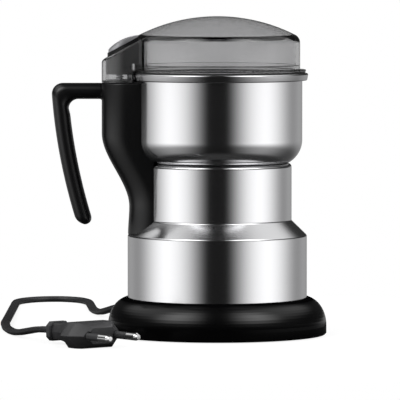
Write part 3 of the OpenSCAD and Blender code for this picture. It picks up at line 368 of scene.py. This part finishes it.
# Cord: a flat two-core lead along the same route as its solid
CORD_W = 5.2
CORD_T = 3.4
CORD_ANGLE = math.radians(120)
PLUG_ANGLE = math.radians(-51.7)
GLAND_END = 86
CORD_Z = 9.8
FLOOR_Z = CORD_T / 2 + 0.1
PLUG_AT = (-87, -54, 6.9)
ROUTE = [Vector(p) for p in [
    (GLAND_END * math.cos(CORD_ANGLE), GLAND_END * math.sin(CORD_ANGLE), CORD_Z),
    (-50, 86.5, 9.2), (-57, 99, 7.2), (-63, 112, 4.4), (-67, 126, 2.4), (-70, 140, FLOOR_Z),
    (-72, 154, FLOOR_Z), (-73, 168, FLOOR_Z), (-74, 182, FLOOR_Z), (-75, 196, FLOOR_Z),
    (-77, 209, FLOOR_Z), (-82, 221, FLOOR_Z), (-92, 229, FLOOR_Z), (-104, 228, FLOOR_Z),
    (-113, 220, FLOOR_Z), (-118, 208, FLOOR_Z), (-119, 194, FLOOR_Z), (-119, 180, FLOOR_Z),
    (-119, 166, FLOOR_Z), (-119, 152, FLOOR_Z), (-119, 138, FLOOR_Z), (-119, 124, FLOOR_Z),
    (-119, 110, FLOOR_Z), (-119, 96, FLOOR_Z), (-119, 82, FLOOR_Z), (-119, 68, FLOOR_Z),
    (-119, 54, FLOOR_Z), (-118, 40, FLOOR_Z), (-117, 26, FLOOR_Z), (-115, 12, FLOOR_Z),
    (-112, -2, FLOOR_Z), (-108, -15, 2.6), (-103, -28, 4.4), (-96, -41, 6.4), PLUG_AT,
]]
CORD_STEPS = 4


def cord_ways():
    """Direction and pace at each point of the route."""
    last = len(ROUTE) - 1
    leave = Vector((math.cos(CORD_ANGLE), math.sin(CORD_ANGLE), 0))
    arrive = Vector((math.cos(PLUG_ANGLE), math.sin(PLUG_ANGLE), 0))
    ways = [(ROUTE[i + 1] - ROUTE[i - 1]) / 2 for i in range(1, last)]
    first_way = leave * (ROUTE[1] - ROUTE[0]).length
    last_way = arrive * (ROUTE[last] - ROUTE[last - 1]).length
    return [first_way, *ways, last_way]


def cord_path():
    """Points along the smooth curve through the route, with their directions."""
    ways = cord_ways()
    path = []
    for i in range(len(ROUTE) - 1):
        p, q, m, n = ROUTE[i], ROUTE[i + 1], ways[i], ways[i + 1]
        for k in range(CORD_STEPS + (i == len(ROUTE) - 2)):
            t = k / CORD_STEPS
            place = (
                p * (2 * t**3 - 3 * t**2 + 1) + m * (t**3 - 2 * t**2 + t)
                + q * (3 * t**2 - 2 * t**3) + n * (t**3 - t**2)
            )
            way = (
                p * (6 * t**2 - 6 * t) + m * (3 * t**2 - 4 * t + 1)
                + q * (6 * t - 6 * t**2) + n * (3 * t**2 - 2 * t)
            )
            path.append((place, way.normalized()))
    return path


def cord_section():
    """Two round cores side by side, with a groove between them."""
    aside = (CORD_W - CORD_T) / 2
    groove = math.degrees(math.acos(2 * aside / CORD_T))
    right = arc((aside, 0), CORD_T / 2, groove - 180, 180 - groove, 12)
    left = arc((-aside, 0), CORD_T / 2, groove, 360 - groove, 12)
    return right[1:] + left[1:]


def make_cord():
    section = cord_section()
    path = cord_path()
    rings = []
    for place, way in path:
        side = Vector((-way.y, way.x, 0)).normalized()
        up = way.cross(side)
        rings.append([place + side * x + up * y for x, y in section])
    cord = make(loft(rings), "power_lead", "power_cord", crease=50)


# Plug: X runs from the cord to the pins
PLUG_L = 42
PLUG_W = 35.3
PLUG_T = 13.7
PLUG_NECK_L = 8.4
PLUG_NECK_W = 10.8
PLUG_NECK_T = 8.8
FLARE_START = 0.16 * PLUG_L
FLARE_L = 0.5 * PLUG_L
FLARE_POWER = 1.7
SIDE_SLANT = (1, 4.5)  # how far the flats stop short of the sides at the neck, and how much more at the flare
SIDE_ROUND = 0.5
FLAT_ROUND = 0.8
BACK_RINGS = (2, 5, 7, PLUG_NECK_L, 10, 11.6, 13.2, 14.8, 16.4, 17.8)
RIBS = 4
RIB_START = 18.6
RIB_STEP = 2
RIB_W = 1.4
RIB_EDGE = 0.3
RIB_RISE = 0.5
PANEL_X = 26.6
PANEL_RISE = 0.5
PANEL_END = 36.6
PANEL_RINGS = (PANEL_X + 0.3, 28, 30, 32, 34, PANEL_END)
FRONT_L = 8
FRONT_DRAW = 6
FRONT_SLOPE = 0.45
FRONT_RINGS = (37.4, 39.5, 41.5)
FRONT_FACE = (0.97, 0.9)  # width and thickness of the front face as shares of the ring behind it
FLANGE_L = 3.6
FLANGE = (6.8, 5.2, 2.2)  # half width, half height and cut corner
FLANGE_ROUND = 0.4
FLANGE_EDGE = 0.5
FLANGE_FACE = 0.93
SLOT_X = 6.05
SLOT_SIZE = (1.3, 5.6, 2.4)
PIN_GAP = 18.6
PIN_BORES = [(1.55, 35.9, 43), (2.85, 36.9, 39.1), (2.7, 41, 43)]  # radius, from, to


def plug_ring(x, thick):
    """Six-sided section with slanting sides that widen towards the pins."""
    flare = min(1, max(0, (x - FLARE_START) / FLARE_L))
    wide = (PLUG_NECK_W + (PLUG_W - PLUG_NECK_W) * flare**FLARE_POWER) / 2
    wide -= FRONT_DRAW * max(0, x - PLUG_L + FRONT_L) / FRONT_L
    flat = wide - SIDE_SLANT[0] - SIDE_SLANT[1] * flare
    corners = [(wide, 0, SIDE_ROUND), (flat, thick, FLAT_ROUND), (-flat, thick, FLAT_ROUND)]
    corners += [(-wide, 0, SIDE_ROUND), (-flat, -thick, FLAT_ROUND), (flat, -thick, FLAT_ROUND)]
    return [(x, y, z) for y, z in rounded(corners, 3)]


def plug_grip():
    """Neck and flared body with ribs across it, then the flat panel and the drawn-in front."""
    panel = PLUG_T / 2

    def swell(x):
        rise = min(1, max(0, (x - PLUG_NECK_L) / (PANEL_X - PLUG_NECK_L)))
        return PLUG_NECK_T / 2 + (panel - PANEL_RISE - PLUG_NECK_T / 2) * rise

    rings = [plug_ring(x, swell(x)) for x in BACK_RINGS]
    for i in range(RIBS):
        for step, rise in ((0, 0), (RIB_EDGE, RIB_RISE), (RIB_W - RIB_EDGE, RIB_RISE), (RIB_W, 0)):
            x = RIB_START + RIB_STEP * i + step
            rings.append(plug_ring(x, swell(x) + rise))
    rings.append(plug_ring(PANEL_X, swell(PANEL_X)))
    rings += [plug_ring(x, panel) for x in PANEL_RINGS]
    rings += [plug_ring(x, panel - (x - PANEL_END) * FRONT_SLOPE) for x in FRONT_RINGS]
    rings.append([(PLUG_L, y * FRONT_FACE[0], z * FRONT_FACE[1]) for x, y, z in rings[-1]])
    return loft(rings)


def plug_flange():
    """Eight-sided collar where the cord goes in."""
    half, tall, cut = FLANGE
    corner = [(half, tall - cut, FLANGE_ROUND), (half - cut, tall, FLANGE_ROUND)]
    corners = corner + [(-y, z, r) for y, z, r in corner[::-1]]
    corners += [(-y, -z, r) for y, z, r in corners]
    outline = rounded(corners, 3)
    sides = [(0, FLANGE_FACE), (FLANGE_EDGE, 1), (FLANGE_L - FLANGE_EDGE, 1), (FLANGE_L, FLANGE_FACE)]
    return loft([[(x, y * size, z * size) for y, z in outline] for x, size in sides])


def plug_slots():
    """Recesses across the neck behind the collar, above and below."""
    slots = []
    for side in (1, -1):
        bm = bmesh.new()
        place = Matrix.Translation((SLOT_X, 0, side * PLUG_NECK_T / 2)) @ Matrix.Diagonal((*SLOT_SIZE, 1))
        bmesh.ops.create_cube(bm, size=1, matrix=place)
        slots.append(bm)
    return slots


def pin_bores():
    """Stepped bores round the pins' cores, with a hollow round each root."""
    bores = []
    for side in (1, -1):
        for radius, start, end in PIN_BORES:
            middle = Matrix.Translation(((start + end) / 2, side * PIN_GAP / 2, 0))
            bores.append(rod(radius, end - start, middle @ Matrix.Rotation(math.pi / 2, 4, "Y")))
    return bores


def make_plug():
    bm = carve(plug_grip(), joins=[plug_flange()], cuts=[*plug_slots(), *pin_bores()])
    place = Matrix.Translation(PLUG_AT) @ Matrix.Rotation(PLUG_ANGLE, 4, "Z")
    bmesh.ops.transform(bm, matrix=place, verts=bm.verts)
    return make(bm, "moulded_plug", "plug_body", crease=25)


moulded_plug = make_plug()
make_cord()


# Heights and radii of the steel, which the column and lid follow
HOUSING_LOW = low("housing_shell").z
HOUSING_TOP = high("housing_shell").z
LOWER_R = high("housing_shell").x
NECK_R = LOWER_R - 8.4
SHOULDER_Z = HOUSING_LOW + 37.4
NECK_Z = SHOULDER_Z + 8.2
SHOULDER_ROUND = 1.4
BOWL_Z = high("bowl").z - 48.7
BOWL_R = high("bowl").x - 3.4
BOWL_CORNER = 14
BOWL_CORNER_OUT = 14.5
BOWL_FOOT_R = 39
BOWL_FOOT_Z = HOUSING_TOP + 0.25

# Column and handle
COLUMN_W = 43.2
COLUMN_ROUND = 14
COLUMN_WALL = 2.5
COLUMN_BACK = 28
COLUMN_LOW = LOWER_R - 1
COLUMN_OUT = BOWL_R + 16.6
COLUMN_TOP = high("bowl").z - 5.2
COLUMN_FOOT = SHOULDER_Z + 0.9
COLUMN_EDGE = 0.6
COLUMN_STEPS = 14  # points round each of its front edges
COLUMN_FLOOR = 4
COLUMN_ROOF = 3
FOOT_FLARE = 0.7
SWELL_LOW = NECK_Z + 8
SWELL_HIGH = HOUSING_TOP + 16.7
HANDLE_OUT = COLUMN_OUT + 27.5
HANDLE_W = 18
HANDLE_SQUARE = 0.76  # 1 is an oval section, 0 a square one
ARM_T = 8.8
ARM_DROP = 0.2
ARM_SINK = 1.7
ARM_FILLET = 1.2
CORNER_OUT = 6
CORNER_IN = 5.3
CORNER_SHIFT = 0.2
GRIP_T = 9.1
GRIP_END = 61
GRIP_CAP = 4.6
GRIP_LEAN = math.radians(4)
GRIP_CURVE = 291
ROD_X = (low("push_rod").x + high("push_rod").x) / 2
ROD_HOLE_R = 1.9
ROD_HOLE_L = 12
ROD_HOLE_Z = COLUMN_TOP - 2
CLEAR = 9  # how far a cut goes on past what it cuts


def ease(t):
    t = min(1, max(0, t))
    return t * t * (3 - 2 * t)


def column_ring(z, inset):
    """Section of the column at a height: flat back, upright sides and a front with round edges."""
    swell = (COLUMN_OUT - COLUMN_LOW) * ease((z - SWELL_LOW) / (SWELL_HIGH - SWELL_LOW))
    flare = FOOT_FLARE * ease((SWELL_LOW - z) / (SWELL_LOW - COLUMN_FOOT))
    face = COLUMN_LOW + swell + flare - inset
    half = COLUMN_W / 2 - inset
    r = COLUMN_ROUND - inset
    edge = arc((r - face, half - r), r, 90, 180, COLUMN_STEPS)
    edge += arc((r - face, r - half), r, 180, 270, COLUMN_STEPS)
    back = inset - COLUMN_BACK
    return [(x, y, z) for x, y in [(back, half), *edge, (back, -half)]]


def column_solid(z0, z1, inset, soft_edge=0):
    """The column between two heights, set in by inset, with soft edges at both ends."""
    foot = [z0 + soft_edge + (SWELL_LOW - z0 - soft_edge) * i / 6 for i in range(6)]
    swell = [SWELL_LOW + (SWELL_HIGH - SWELL_LOW) * i / 24 for i in range(25)]
    rings = [column_ring(z, inset) for z in (*foot, *swell, z1 - soft_edge)]
    for draw, rise in edge_steps(soft_edge):
        rings.insert(0, column_ring(z0 + rise, inset + draw))
        rings.append(column_ring(z1 - rise, inset + draw))
    return loft(rings)


def handle_ring(outer, inner, width):
    """Rounded-rectangle section between the outer and inner edge of the handle."""
    middle = (Vector(outer) + Vector(inner)) / 2
    reach = (Vector(outer) - Vector(inner)) / 2
    ring = []
    for k in range(40):
        a = math.radians(9 * k)
        across = abs(math.cos(a)) ** HANDLE_SQUARE * math.copysign(1, math.cos(a))
        along = abs(math.sin(a)) ** HANDLE_SQUARE * math.copysign(1, math.sin(a))
        ring.append((middle.x + reach.x * across, width / 2 * along, middle.y + reach.y * across))
    return ring


def handle_solid():
    """The arm leaves the column level, turns a corner and runs down in a long curve to a round end."""
    top = COLUMN_TOP - ARM_DROP
    under = top - ARM_T
    out_x, out_z = CORNER_OUT - HANDLE_OUT, top - CORNER_OUT
    in_x, in_z = GRIP_T + CORNER_IN + CORNER_SHIFT - HANDLE_OUT, under - CORNER_IN
    last_z = GRIP_END + GRIP_CAP
    start_x = ARM_SINK - COLUMN_OUT

    def grip_x(z):
        down = out_z - z
        return math.tan(GRIP_LEAN) * down + down**2 / (2 * GRIP_CURVE) - HANDLE_OUT

    rings = [handle_ring((start_x, top), (start_x, under - ARM_FILLET), HANDLE_W)]
    for a in (0, 30, 60, 90):
        x = -COLUMN_OUT - ARM_FILLET * (1 - math.cos(math.radians(a)))
        fillet = ARM_FILLET * (1 - math.sin(math.radians(a)))
        rings.append(handle_ring((x, top), (x, under - fillet), HANDLE_W))
    for t in (0.35, 0.7):
        x_out, x_in = start_x + (out_x - start_x) * t, start_x + (in_x - start_x) * t
        rings.append(handle_ring((x_out, top), (x_in, under), HANDLE_W))
    for a in range(90, 181, 9):
        c, d = math.cos(math.radians(a)), math.sin(math.radians(a))
        outer = (out_x + CORNER_OUT * c, out_z + CORNER_OUT * d)
        inner = (in_x + CORNER_IN * c, in_z + CORNER_IN * d)
        rings.append(handle_ring(outer, inner, HANDLE_W))
    for k in range(1, 19):
        zo, zi = out_z + (last_z - out_z) * k / 18, in_z + (last_z - in_z) * k / 18
        rings.append(handle_ring((grip_x(zo), zo), (grip_x(zi) + GRIP_T, zi), HANDLE_W))
    for a in (10, 20, 30, 40, 50, 60, 70, 78, 84):
        c, d = math.cos(math.radians(a)), math.sin(math.radians(a))
        z = last_z - GRIP_CAP * d
        middle = grip_x(z) + GRIP_T / 2
        half = GRIP_T / 2 * c
        rings.append(handle_ring((middle - half, z), (middle + half, z), HANDLE_W * (0.5 + c / 2)))
    return loft(rings)


def bowl_corner():
    """Outside of the bowl's corner, from its foot on the housing up to the wall."""
    across = BOWL_R - BOWL_CORNER_OUT
    turn = math.acos((BOWL_FOOT_R - across) / BOWL_CORNER_OUT)
    rise = BOWL_FOOT_Z + BOWL_CORNER_OUT * math.sin(turn)
    return arc((across, rise), BOWL_CORNER_OUT, -math.degrees(turn), 0, 24)


def steel_room():
    """The space that the steel housing and bowl take up, cut out of the column."""
    below, above, into_bowl = COLUMN_FOOT - CLEAR, COLUMN_TOP + CLEAR, BOWL_Z + 1
    housing = [
        (0, below, 0), (LOWER_R, below, 0), (LOWER_R, SHOULDER_Z, SHOULDER_ROUND),
        (NECK_R, NECK_Z, SHOULDER_ROUND), (NECK_R, into_bowl, 0), (0, into_bowl, 0),
    ]
    cup = [(0, BOWL_FOOT_Z), *bowl_corner(), (BOWL_R, above), (0, above)]
    return turned(rounded(housing)), turned(cup)


def make_column():
    hollow = column_solid(COLUMN_FOOT + COLUMN_FLOOR, COLUMN_TOP - COLUMN_ROOF, COLUMN_WALL)
    solid = column_solid(COLUMN_FOOT, COLUMN_TOP, 0, COLUMN_EDGE)
    rod_hole = rod(ROD_HOLE_R, ROD_HOLE_L, Matrix.Translation((ROD_X, 0, ROD_HOLE_Z)))
    bm = carve(solid, joins=[handle_solid()], cuts=[hollow, *steel_room(), rod_hole])
    make(bm, "column_with_handle", "handle_column", crease=40)


make_column()


# Bowl: a drawn sheet whose corner comes down to the neck, with a rim that leans out and studs below
BOWL_T = 0.8
BOWL_HOLE_R = 7.1
FOOT_T = 0.5
RIM_TOP = high("bowl").z
RIM_OUT = high("bowl").x
RIM_T = 4
RIM_LEAN = 0.8
RIM_EDGE = 0.9
RIM_FOOT = 0.6
RIM_ROOT = 0.3
HOLD = 0.4  # rows of faces this close to a round edge keep the long walls true
STUD_R = 2
STUD_INTO_FLOOR = 0.2
NUT_R = 4.05


def bowl_section():
    wall, floor = BOWL_R - BOWL_T, BOWL_Z + BOWL_T
    under = RIM_TOP - RIM_T
    foot_in = BOWL_FOOT_R - FOOT_T
    centre = (BOWL_R - BOWL_CORNER, BOWL_Z + BOWL_CORNER)
    seat = math.degrees(math.acos((foot_in - centre[0]) / BOWL_CORNER))
    corner = bowl_corner()
    bottom = [
        (BOWL_HOLE_R, BOWL_Z), *arc(centre, BOWL_CORNER, -90, -seat, 8), (foot_in, BOWL_FOOT_Z),
        *corner, (BOWL_R, corner[-1][1] + HOLD), (BOWL_R, under - HOLD),
    ]
    outside = [(r, z, 0) for r, z in bottom] + [
        (BOWL_R, under, RIM_ROOT), (RIM_OUT - RIM_LEAN, under, RIM_FOOT), (RIM_OUT, RIM_TOP, RIM_EDGE),
    ]
    inside = [
        (wall, RIM_TOP, RIM_EDGE), (wall, under, 0), (wall, BOWL_Z + BOWL_CORNER + HOLD, 0),
        (wall, floor, BOWL_CORNER - BOWL_T), (BOWL_HOLE_R, floor, 0),
    ]
    points = rounded(outside + inside, 24)
    return points + points[:1]


def bowl_studs():
    foot, nut = low("bowl").z, high("bowl_nuts")
    length = BOWL_Z + STUD_INTO_FLOOR - foot
    across, along = nut.x - NUT_R, nut.y - NUT_R * math.sin(math.pi / 3)
    places = [(x, y, foot + length / 2) for x in (-across, across) for y in (-along, along)]
    return [rod(STUD_R, length, Matrix.Translation(place)) for place in places]


make(carve(turned(bowl_section()), joins=bowl_studs()), "rolled_bowl", "bowl", crease=30)


# Springs of round wire
SPRING_WIRE = 0.6
SPRING_TURNS = 5
BRUSH_WIRE = 0.5
BRUSH_TURNS = 6
BRUSH_SPRING_L = 10.2
STEPS_PER_TURN = 24


def wound(radius, length, turns, wire):
    """A coil that stands on z = 0, wound upwards about the Z axis."""
    bm = bmesh.new()
    slope = math.atan2(length - wire, 2 * math.pi * radius * turns)
    place = Matrix.Translation((radius, 0, wire / 2)) @ Matrix.Rotation(math.pi / 2 + slope, 4, "X")
    end = bmesh.ops.create_circle(bm, cap_ends=False, segments=12, radius=wire / 2, matrix=place)
    steps = round(STEPS_PER_TURN * turns)
    bmesh.ops.spin(
        bm, geom=end["verts"] + bm.edges[:], cent=(0, 0, 0), axis=(0, 0, 1),
        dvec=(0, 0, (length - wire) / steps), angle=2 * math.pi * turns, steps=steps,
    )
    bmesh.ops.holes_fill(bm, edges=bm.edges)
    return bm


def make_key_spring():
    """It stands on the retainer under the push rod's collar, which closes it up as the key goes down; here it
    is wound at one length.
    """
    foot, head = low("key_spring"), high("key_spring")
    length = head.z - foot.z
    bm = wound((head.y - foot.y - SPRING_WIRE) / 2, length, SPRING_TURNS, SPRING_WIRE)
    bmesh.ops.translate(bm, vec=(ROD_X, 0, foot.z), verts=bm.verts)
    coil = make(bm, "key_coil", "key_spring")
    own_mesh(coil)


def make_brush_springs():
    """Two coils end to end with the brushes, one either side of the shaft."""
    inner, outer = low("brush_springs"), high("brush_springs")
    up, wide = (inner.z + outer.z) / 2, outer.y - inner.y
    bm = bmesh.new()
    for turn in (1, -1):
        coil = wound((wide - BRUSH_WIRE) / 2, BRUSH_SPRING_L, BRUSH_TURNS, BRUSH_WIRE)
        lay = Matrix.Rotation(turn * math.pi / 2, 4, "Y")
        place = Matrix.Translation((turn * (outer.x - BRUSH_SPRING_L), 0, up)) @ lay
        bmesh.ops.transform(coil, matrix=place, verts=coil.verts)
        spare = bpy.data.meshes.new("spare")
        coil.to_mesh(spare)
        coil.free()
        bm.from_mesh(spare)
        bpy.data.meshes.remove(spare)
    make(bm, "brush_coils", "brush_springs")


make_key_spring()
make_brush_springs()


# Key and its grip, with softened edges
KEY_EDGE = 0.35
GRIP_EDGE = 0.15
make(soften(merged("press_key"), KEY_EDGE), "key_body", "press_key")
make(soften(merged("key_grip"), GRIP_EDGE, segments=2), "ribbed_grip", "key_grip")


# Lid: a clear turned shell, thick at its edge, and the key housing over the column
LID_R = BOWL_R - 1.2
LID_TOP = high("lid_cover").z
LID_Z = low("lid_seal").z
LID_WALL = 2
DOME_WALL = 1.5
LID_ROUND = 5
DOME_R = 95
DOME_Z = LID_TOP - DOME_R
DOME_STEPS = 24
BRIM_R = RIM_OUT - 1.4
BRIM_Z = LID_Z + 0.6
BRIM_TOP = BRIM_Z + 1.2
SPIGOT_R = BOWL_R - 1.4
SPIGOT_Z = LID_Z - 3.4
SKIRT_IN = SPIGOT_R - 2.6
SKIRT_TOP = LID_Z + 4.2
SKIRT_END = SPIGOT_Z - 5
KEY_SLOPE = math.radians(28.2)
KEY_Z = low("lid_cover").z
SLOPE_Z = COLUMN_TOP + 0.3 + 12.1
KEY_BACK = math.sqrt(LID_R**2 - (COLUMN_W / 2) ** 2) - 3
KEY_SOFT = 1.4
LIP_T = 1.5
LIP_W = 0.9
LIP_BACK = KEY_BACK - 2
RIM_ROOM = RIM_OUT + 0.4


def dome_curve():
    """Half section of the dome and its round corner."""
    corner_r = LID_R - LID_ROUND
    corner_z = DOME_Z + math.sqrt((DOME_R - LID_ROUND) ** 2 - corner_r**2)
    meet = math.degrees(math.atan2(corner_z - DOME_Z, corner_r))
    dome = arc((0, DOME_Z), DOME_R, 90, meet, DOME_STEPS)
    return dome + arc((corner_r, corner_z), LID_ROUND, meet, 0, 10)[1:]


def lid_outside():
    section = [(max(r, 0), z, 0) for r, z in dome_curve()] + [
        (LID_R, BRIM_TOP, 0.3), (BRIM_R, BRIM_TOP, 0.5), (BRIM_R, BRIM_Z, 0.4), (LID_R, BRIM_Z, 0),
        (LID_R, LID_Z, 0), (SPIGOT_R, LID_Z, 0), (SPIGOT_R, SPIGOT_Z, 0.5), (0, SPIGOT_Z, 0),
    ]
    return turned(rounded(section, 4))


def lid_inside():
    """The room inside, with a sharp corner that makes the lid's edge thick."""
    wall = LID_R - LID_WALL
    meet = math.degrees(math.acos(wall / (DOME_R - DOME_WALL)))
    dome = arc((0, DOME_Z), DOME_R - DOME_WALL, 90, meet, DOME_STEPS)
    section = [(max(r, 0), z, 0) for r, z in dome] + [
        (wall, SKIRT_TOP, 0.2), (SKIRT_IN, SKIRT_TOP, 0.3), (SKIRT_IN, SKIRT_END, 0), (0, SKIRT_END, 0),
    ]
    return turned(rounded(section, 4))


def rim_room():
    """Room for the bowl's rim under the brim."""
    below = KEY_Z - 2
    return turned([(0, below), (RIM_ROOM, below), (RIM_ROOM, BRIM_Z), (0, BRIM_Z)])


def key_block(inset, z, rise, back, soft_edge=0):
    """A block on the column's plan, from z up to rise above the sloping key face."""
    half = COLUMN_W / 2
    round_x = COLUMN_ROUND - COLUMN_OUT

    def plan(draw):
        r = COLUMN_ROUND - draw
        edge = arc((round_x, half - COLUMN_ROUND), r, 90, 180, COLUMN_STEPS)
        edge += arc((round_x, COLUMN_ROUND - half), r, 180, 270, COLUMN_STEPS)
        return [(-back, half - draw), *edge, (-back, draw - half)]

    def slope(draw, drop):
        top = SLOPE_Z + rise / math.cos(KEY_SLOPE) - drop
        return [(x, y, top + (x + COLUMN_OUT) * math.tan(KEY_SLOPE)) for x, y in plan(draw)]

    rings = [[(x, y, z) for x, y in plan(inset)], slope(inset, soft_edge)]
    rings += [slope(inset + draw, drop) for draw, drop in edge_steps(soft_edge)]
    return loft(rings)


def make_lid():
    below = KEY_Z - 1
    key_room = key_block(LID_WALL + LIP_W, below, CLEAR, LIP_BACK)
    hollow = carve(
        key_block(LID_WALL, below, -LIP_T, KEY_BACK), joins=[key_room], cuts=[lid_outside(), rim_room()],
    )
    housing = carve(key_block(0, KEY_Z, 0, KEY_BACK, KEY_SOFT), cuts=[hollow, rim_room()])
    make(carve(lid_outside(), joins=[housing], cuts=[lid_inside()]), "clear_lid", "lid_cover", crease=8)


make_lid()


# Floor: pale and round, and it shows white
FLOOR_R = 0.28
FLOOR_GLOW = 0.87  # share of the floor's white that takes no shadow
FLOOR_GREY = 0.22  # the floor's own colour, which takes the shadow
FLOOR_MIRRORED = 0.04  # the same as polished pieces mirror it
FLOOR_SHINE = 0.01  # share of the white which polished pieces mirror
FLOOR_EDGE = (0.11, 0.15)  # past this radius polished pieces mirror the studio instead of the floor


def floor_finish():
    material = bpy.data.materials.new("pale_floor")
    material.use_nodes = True
    tree = material.node_tree
    tree.nodes.remove(tree.nodes["Principled BSDF"])
    matt = tree.nodes.new("ShaderNodeBsdfDiffuse")
    glow = tree.nodes.new("ShaderNodeEmission")
    clear = tree.nodes.new("ShaderNodeBsdfTransparent")
    rays = tree.nodes.new("ShaderNodeLightPath")
    mirrored = rays.outputs["Is Glossy Ray"]
    seen = add_math(tree, "MAXIMUM", rays.outputs["Is Camera Ray"], rays.outputs["Is Transmission Ray"])
    seen = add_math(tree, "MULTIPLY_ADD", mirrored, FLOOR_SHINE, seen)
    grey = add_math(tree, "MULTIPLY_ADD", mirrored, FLOOR_MIRRORED - FLOOR_GREY, FLOOR_GREY)
    place = tree.nodes.new("ShaderNodeTexCoord")
    reach = tree.nodes.new("ShaderNodeVectorMath")
    reach.operation = "LENGTH"
    tree.links.new(place.outputs["Object"], reach.inputs[0])
    outer = add_ease(tree, reach.outputs["Value"], FLOOR_EDGE, 0, 1)
    both = tree.nodes.new("ShaderNodeAddShader")
    mix = tree.nodes.new("ShaderNodeMixShader")
    tree.links.new(grey, matt.inputs["Color"])
    tree.links.new(add_math(tree, "MULTIPLY", seen, FLOOR_GLOW), glow.inputs["Strength"])
    tree.links.new(matt.outputs[0], both.inputs[0])
    tree.links.new(glow.outputs[0], both.inputs[1])
    tree.links.new(add_math(tree, "MULTIPLY", mirrored, outer), mix.inputs[0])
    tree.links.new(both.outputs[0], mix.inputs[1])
    tree.links.new(clear.outputs[0], mix.inputs[2])
    tree.links.new(mix.outputs[0], tree.nodes["Material Output"].inputs["Surface"])
    return material


def make_floor():
    bm = bmesh.new()
    bmesh.ops.create_circle(bm, cap_ends=True, segments=96, radius=FLOOR_R)
    mesh = bpy.data.meshes.new("floor")
    bm.to_mesh(mesh)
    bm.free()
    mesh.materials.append(floor_finish())
    floor = bpy.data.objects.new("floor", mesh)
    scene.collection.objects.link(floor)


# Studio: soft boxes either side of a dark gap, by direction: X is aside, Y goes back and Z goes up
SOFTBOX = 1.75  # brightness of the boxes level with the object
GAP = (0.18, 0.98)  # from the gap's dark to the full boxes, aside
GAP_NARROWS = 0.5  # share of its width that the gap loses overhead
LEVEL_TOP = (-0.01, 0.05)  # the level boxes end a little above the horizon
LEVEL_ABOVE = 0.06  # share of their light above that
LEVEL_FOOT = (-0.42, -0.02)  # they fade towards the bench
LEVEL_BELOW = 0.25
LEVEL_SIDE = (-0.42, 0.55)  # and past the sides
LEVEL_BEHIND = 0.25
OVER_RISE = (0.3, 0.7)  # the boxes overhead
OVER_DEPTH = (-0.5, -0.05)
OVER_FRONT = 3.4  # how much brighter they are in front
OVER_BACK = 0.6  # and towards the back
OVER_END = (0.6, 0.85)  # they end before the backdrop
BACKDROP = 0.35  # brightness of the backdrop at its lower edge
BACKDROP_DEPTH = (0.55, 1)
SURROUND = 0.012  # brightness of the dark gap


def studio_light(tree):
    """Brightness of the studio in each direction."""
    place = tree.nodes.new("ShaderNodeTexCoord")
    axes = tree.nodes.new("ShaderNodeSeparateXYZ")
    tree.links.new(place.outputs["Generated"], axes.inputs[0])
    back, up = axes.outputs["Y"], axes.outputs["Z"]
    aside = add_math(tree, "ABSOLUTE", axes.outputs["X"])
    narrow = add_math(tree, "MULTIPLY_ADD", add_math(tree, "MAXIMUM", up, 0), -GAP_NARROWS, 1)
    boxes = add_ease(tree, add_math(tree, "DIVIDE", aside, narrow), GAP, 0, SOFTBOX)
    above = add_ease(tree, up, LEVEL_TOP, 1, LEVEL_ABOVE)
    below = add_ease(tree, up, LEVEL_FOOT, LEVEL_BELOW, 1)
    low_part = add_math(tree, "MULTIPLY", above, below)
    level = add_math(tree, "MULTIPLY", low_part, add_ease(tree, back, LEVEL_SIDE, 1, LEVEL_BEHIND))
    over = add_ease(tree, up, OVER_RISE, 0, 1)
    over = add_math(tree, "MULTIPLY", over, add_ease(tree, back, OVER_DEPTH, OVER_FRONT, OVER_BACK))
    over = add_math(tree, "MULTIPLY", over, add_ease(tree, back, OVER_END, 1, 0))
    drop = add_math(tree, "MULTIPLY", low_part, add_ease(tree, back, BACKDROP_DEPTH, 0, BACKDROP))
    both = add_math(tree, "ADD", level, over)
    return add_math(tree, "MULTIPLY_ADD", boxes, both, add_math(tree, "ADD", drop, SURROUND))


def make_studio():
    world = bpy.data.worlds.new("studio")
    scene.world = world
    world.use_nodes = True
    tree = world.node_tree
    tree.nodes.clear()
    rays = tree.nodes.new("ShaderNodeLightPath")
    seen = add_math(tree, "MAXIMUM", rays.outputs["Is Camera Ray"], rays.outputs["Is Transmission Ray"])
    glow = tree.nodes.new("ShaderNodeBackground")
    white = tree.nodes.new("ShaderNodeBackground")
    mix = tree.nodes.new("ShaderNodeMixShader")
    for shade in (glow, white):
        shade.inputs["Color"].default_value = (1, 1, 1, 1)
    tree.links.new(studio_light(tree), glow.inputs["Strength"])
    tree.links.new(seen, mix.inputs[0])
    tree.links.new(glow.outputs[0], mix.inputs[1])
    tree.links.new(white.outputs[0], mix.inputs[2])
    out = tree.nodes.new("ShaderNodeOutputWorld")
    tree.links.new(mix.outputs[0], out.inputs["Surface"])


make_floor()
make_studio()
scene.view_settings.view_transform = "Standard"
